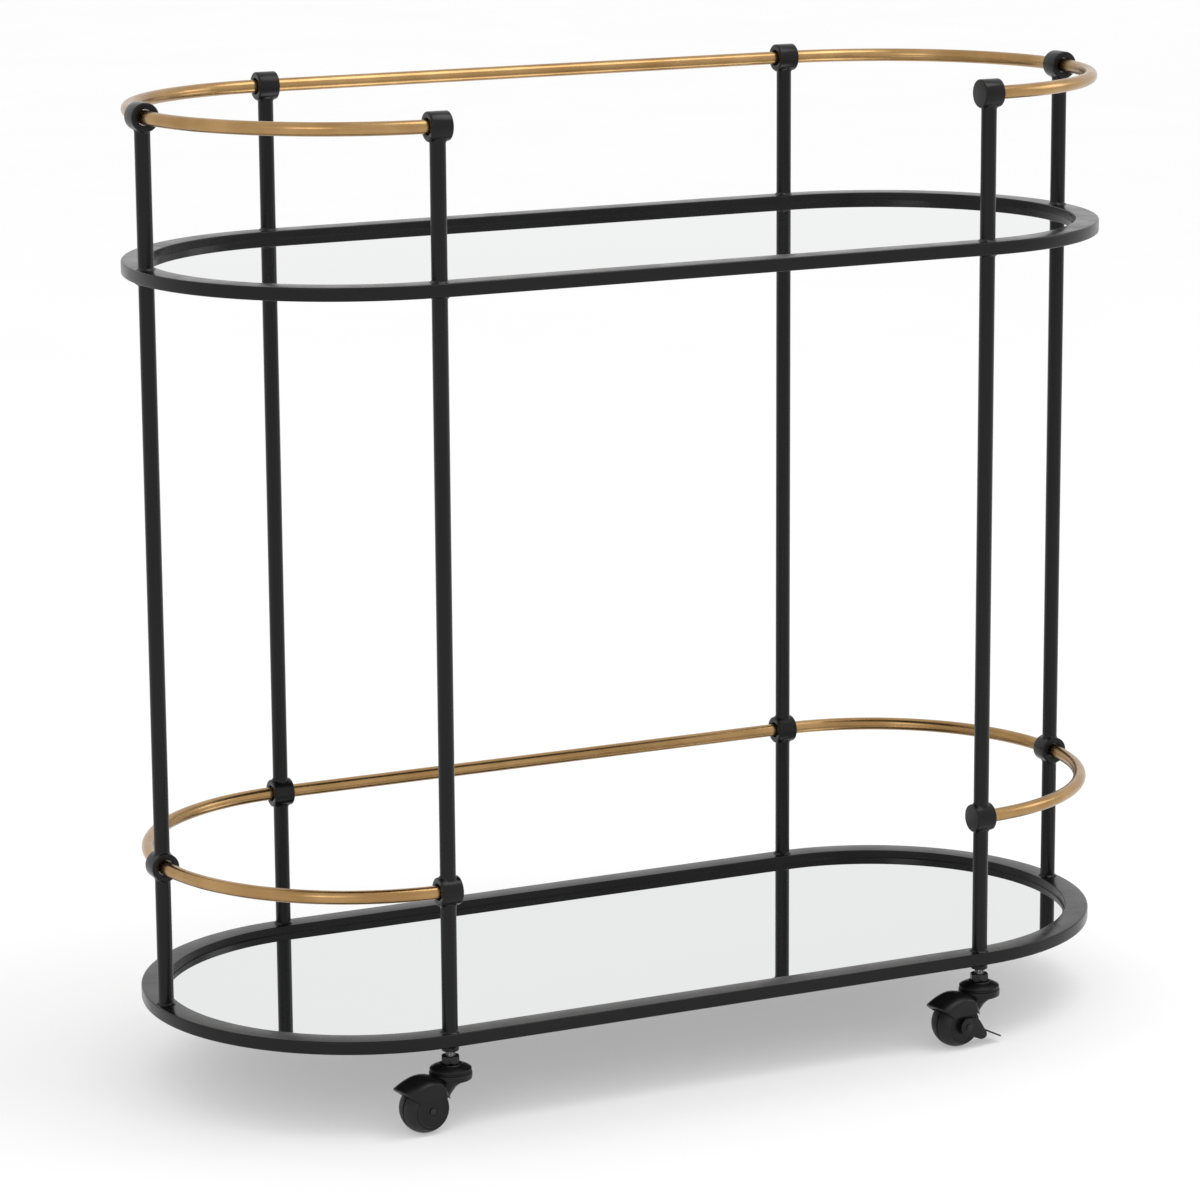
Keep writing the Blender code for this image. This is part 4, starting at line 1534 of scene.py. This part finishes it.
@dataclass(frozen=True)
class BrakeLever(CasterPart):
    """The brake lever: a hub on the axle, an arm that widens outwards and a thin sloping pedal.

    The arm's corners and the pedal's two ends are (X, Z) from the axle, in millimetres, and so is the
    pedal's thickness.
    """

    eye_radius: float = 7.4 * MM
    arm_low: float = 15.2 * MM
    arm_high: float = 17.4 * MM
    arm_corners: tuple[tuple[float, float], ...] = (
        (-10.8, 6.2),
        (-14.4, 1.4),
        (-17.4, -3.4),
        (-20.9, -8.6),
        (-20.3, -11.9),
        (-17.4, -13.4),
        (-13.8, -13.3),
        (-8.6, -10.8),
    )
    hub_radius: float = 5.4 * MM
    hub_low: float = 13.3 * MM
    hub_high: float = 17.9 * MM
    bore: float = 2.3 * MM
    pedal_start: tuple[float, float] = (-18.2, -6.3)
    pedal_end: tuple[float, float] = (-36.0, -15.2)
    pedal_thickness: float = 1.3
    pedal_low: float = 4 * MM
    pedal_high: float = 17.1 * MM

    def build(self) -> None:
        """Makes the lever, on its own side of the wheels."""
        way = self.post.brake_side.value
        axle = np.array([self.trail, self.wheel_radius])
        turn = np.radians(np.linspace(-75, 112, 12))
        eye = self.eye_radius * np.stack([np.cos(turn), np.sin(turn)], axis=-1)
        outline = np.concatenate([eye, np.array(self.arm_corners) * MM]) + axle
        low, high = sorted((way * self.arm_low, way * self.arm_high))
        draft = Draft().add_slab(softened(outline, 2), low, high, 0.6 * MM, self.side_place)
        draft.add_turned(
            [
                (self.bore, way * self.hub_low, 0),
                (self.hub_radius, way * self.hub_low, 0.3 * MM),
                (self.hub_radius, way * self.hub_high, 0.9 * MM),
                (self.bore, way * self.hub_high, 0),
            ],
            self.axle_place,
            loop=True,
        )
        start, end = np.array(self.pedal_start), np.array(self.pedal_end)
        slope = (end - start) / np.linalg.norm(end - start)
        up = self.pedal_thickness * np.array([slope[1], -slope[0]])
        pedal = np.array([start, end, end + up, start + up]) * MM + axle
        pedal = eased([(*point, 0.45 * MM) for point in pedal.tolist()], steps=3, closed=True)
        low, high = sorted((way * self.pedal_low, way * self.pedal_high))
        draft.add_slab(pedal, low, high, 0.4 * MM, self.side_place)
        obj = draft.piece(self._name("brake_arm"), MOULDED_NYLON)
        hand_over(obj, f"brake_{self.post.value}", Slot.CASTER, self._name("brake_lever"))


@dataclass(frozen=True)
class Caster:
    """One whole hooded twin-wheel caster."""

    post: Post

    def build(self) -> None:
        """Makes every part, from the stem down."""
        for part in (Stem, BearingCap, HoodedFork, AxlePin, TwinWheel):
            part(self.post).build()
        if self.post.brake_side:
            BrakeLever(self.post).build()


# ---------------------------------------------------------------------------------------------------
# Studio


@dataclass(frozen=True)
class Softbox:
    """A square area light that looks at the cart's middle line, at its target height."""

    name: str
    place: tuple[float, float, float]
    size: float
    power: float
    target: float = 0.42

    def build(self) -> None:
        """Makes the light, with its own -Z towards the cart."""
        data = bpy.data.lights.new(self.name, "AREA")
        data.shape = "SQUARE"
        data.size = self.size
        data.energy = self.power
        obj = bpy.data.objects.new(self.name, data)
        obj.location = self.place
        away = obj.location - Vector((0, 0, self.target))
        obj.rotation_euler = away.to_track_quat("Z", "Y").to_euler()
        bpy.context.scene.collection.objects.link(obj)


@dataclass(frozen=True)
class Studio:
    """A pale floor, a bright even surround, soft lights and the camera."""

    floor_radius: float = 40.0
    floor_rings: int = 24
    floor_colour: tuple[float, float, float] = (0.62, 0.62, 0.62)
    floor_glow: float = 0.35
    surround: float = 1.0
    camera_place: tuple[float, float, float] = (-1.666, -3.354, 1.182)
    azimuth: float = math.radians(26.09)
    elevation: float = math.radians(12.22)
    roll: float = math.radians(-0.38)
    lens: float = 137.3
    lights: tuple[Softbox, ...] = (
        Softbox("top_softbox", (0.7, -0.6, 2.6), 1.2, 13),
        Softbox("front_softbox", (-2.6, -2.6, 2.2), 1.2, 9),
        Softbox("end_softbox", (2.9, -0.8, 1.7), 1.2, 9),
    )

    def build(self) -> None:
        """Makes the whole studio."""
        self._floor()
        self._surround()
        for light in self.lights:
            light.build()
        self._camera()

    def _floor(self) -> None:
        """A wide round floor, drawn as rings whose spacing grows outwards."""
        radius = np.concatenate([[0.0], np.geomspace(0.25, self.floor_radius, self.floor_rings)])
        sheet = turned(np.stack([radius, 0 * radius], axis=-1), 96)
        floor = Finish(
            name="pale_studio_floor",
            colour=self.floor_colour,
            shade=tuple(0.985 * v for v in self.floor_colour),
            roughness=(0.78, 0.86),
            specular=0.2,
            glow=self.floor_glow,
            cloud_scale=1.5,
            rough_scale=6,
            grain_scale=180,
            grain_depth=0.05 * MM,
        )
        obj = Draft().add_sheet(sheet).piece("studio_floor", floor)

    def _surround(self) -> None:
        """Even white light from all round."""
        world = bpy.data.worlds.new("studio_surround")
        world.use_nodes = True
        shader = world.node_tree.nodes["Background"]
        shader.inputs["Color"].default_value = (1, 1, 1, 1)
        shader.inputs["Strength"].default_value = self.surround
        bpy.context.scene.world = world
        bpy.context.scene.view_settings.view_transform = "Standard"

    def _camera(self) -> None:
        """The camera looks along its azimuth and down by its elevation, tilted by a slight roll."""
        az, el = self.azimuth, self.elevation
        ahead = np.array([math.sin(az) * math.cos(el), math.cos(az) * math.cos(el), -math.sin(el)])
        right = np.array([math.cos(az), -math.sin(az), 0.0])
        up = np.cross(right, ahead)
        side = math.cos(self.roll) * right + math.sin(self.roll) * up
        top = -math.sin(self.roll) * right + math.cos(self.roll) * up
        data = bpy.data.cameras.new("studio_camera")
        data.lens = self.lens
        data.sensor_width = 36
        data.clip_end = 200
        obj = bpy.data.objects.new("studio_camera", data)
        turn = np.eye(4)
        turn[:3, :4] = np.column_stack([side, top, -ahead, self.camera_place])
        obj.matrix_world = Matrix(turn.tolist())
        bpy.context.scene.collection.objects.link(obj)
        bpy.context.scene.camera = obj


def remove_startup_objects() -> None:
    """Clears what Blender starts with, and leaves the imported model."""
    kept = {*frame["nodes"].values(), *frame["bodies"].values()}
    for obj in list(bpy.data.objects):
        if obj not in kept:
            bpy.data.objects.remove(obj, do_unlink=True)


def main() -> None:
    """Builds the cart from the floor up, and then the studio."""
    logging.basicConfig(level=logging.INFO, format="%(name)s %(message)s")
    remove_startup_objects()
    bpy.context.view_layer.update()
    plan = Plan.from_posts()
    for level in Level:
        Shelf(level, plan).build()
        Rail(level, plan).build()
        for post in Post:
            Collar(level, post).build()
    for post in Post:
        Upright(post).build()
        if post.has_caster:
            Caster(post).build()
    Studio().build()


if __name__ == "__main__":
    main()
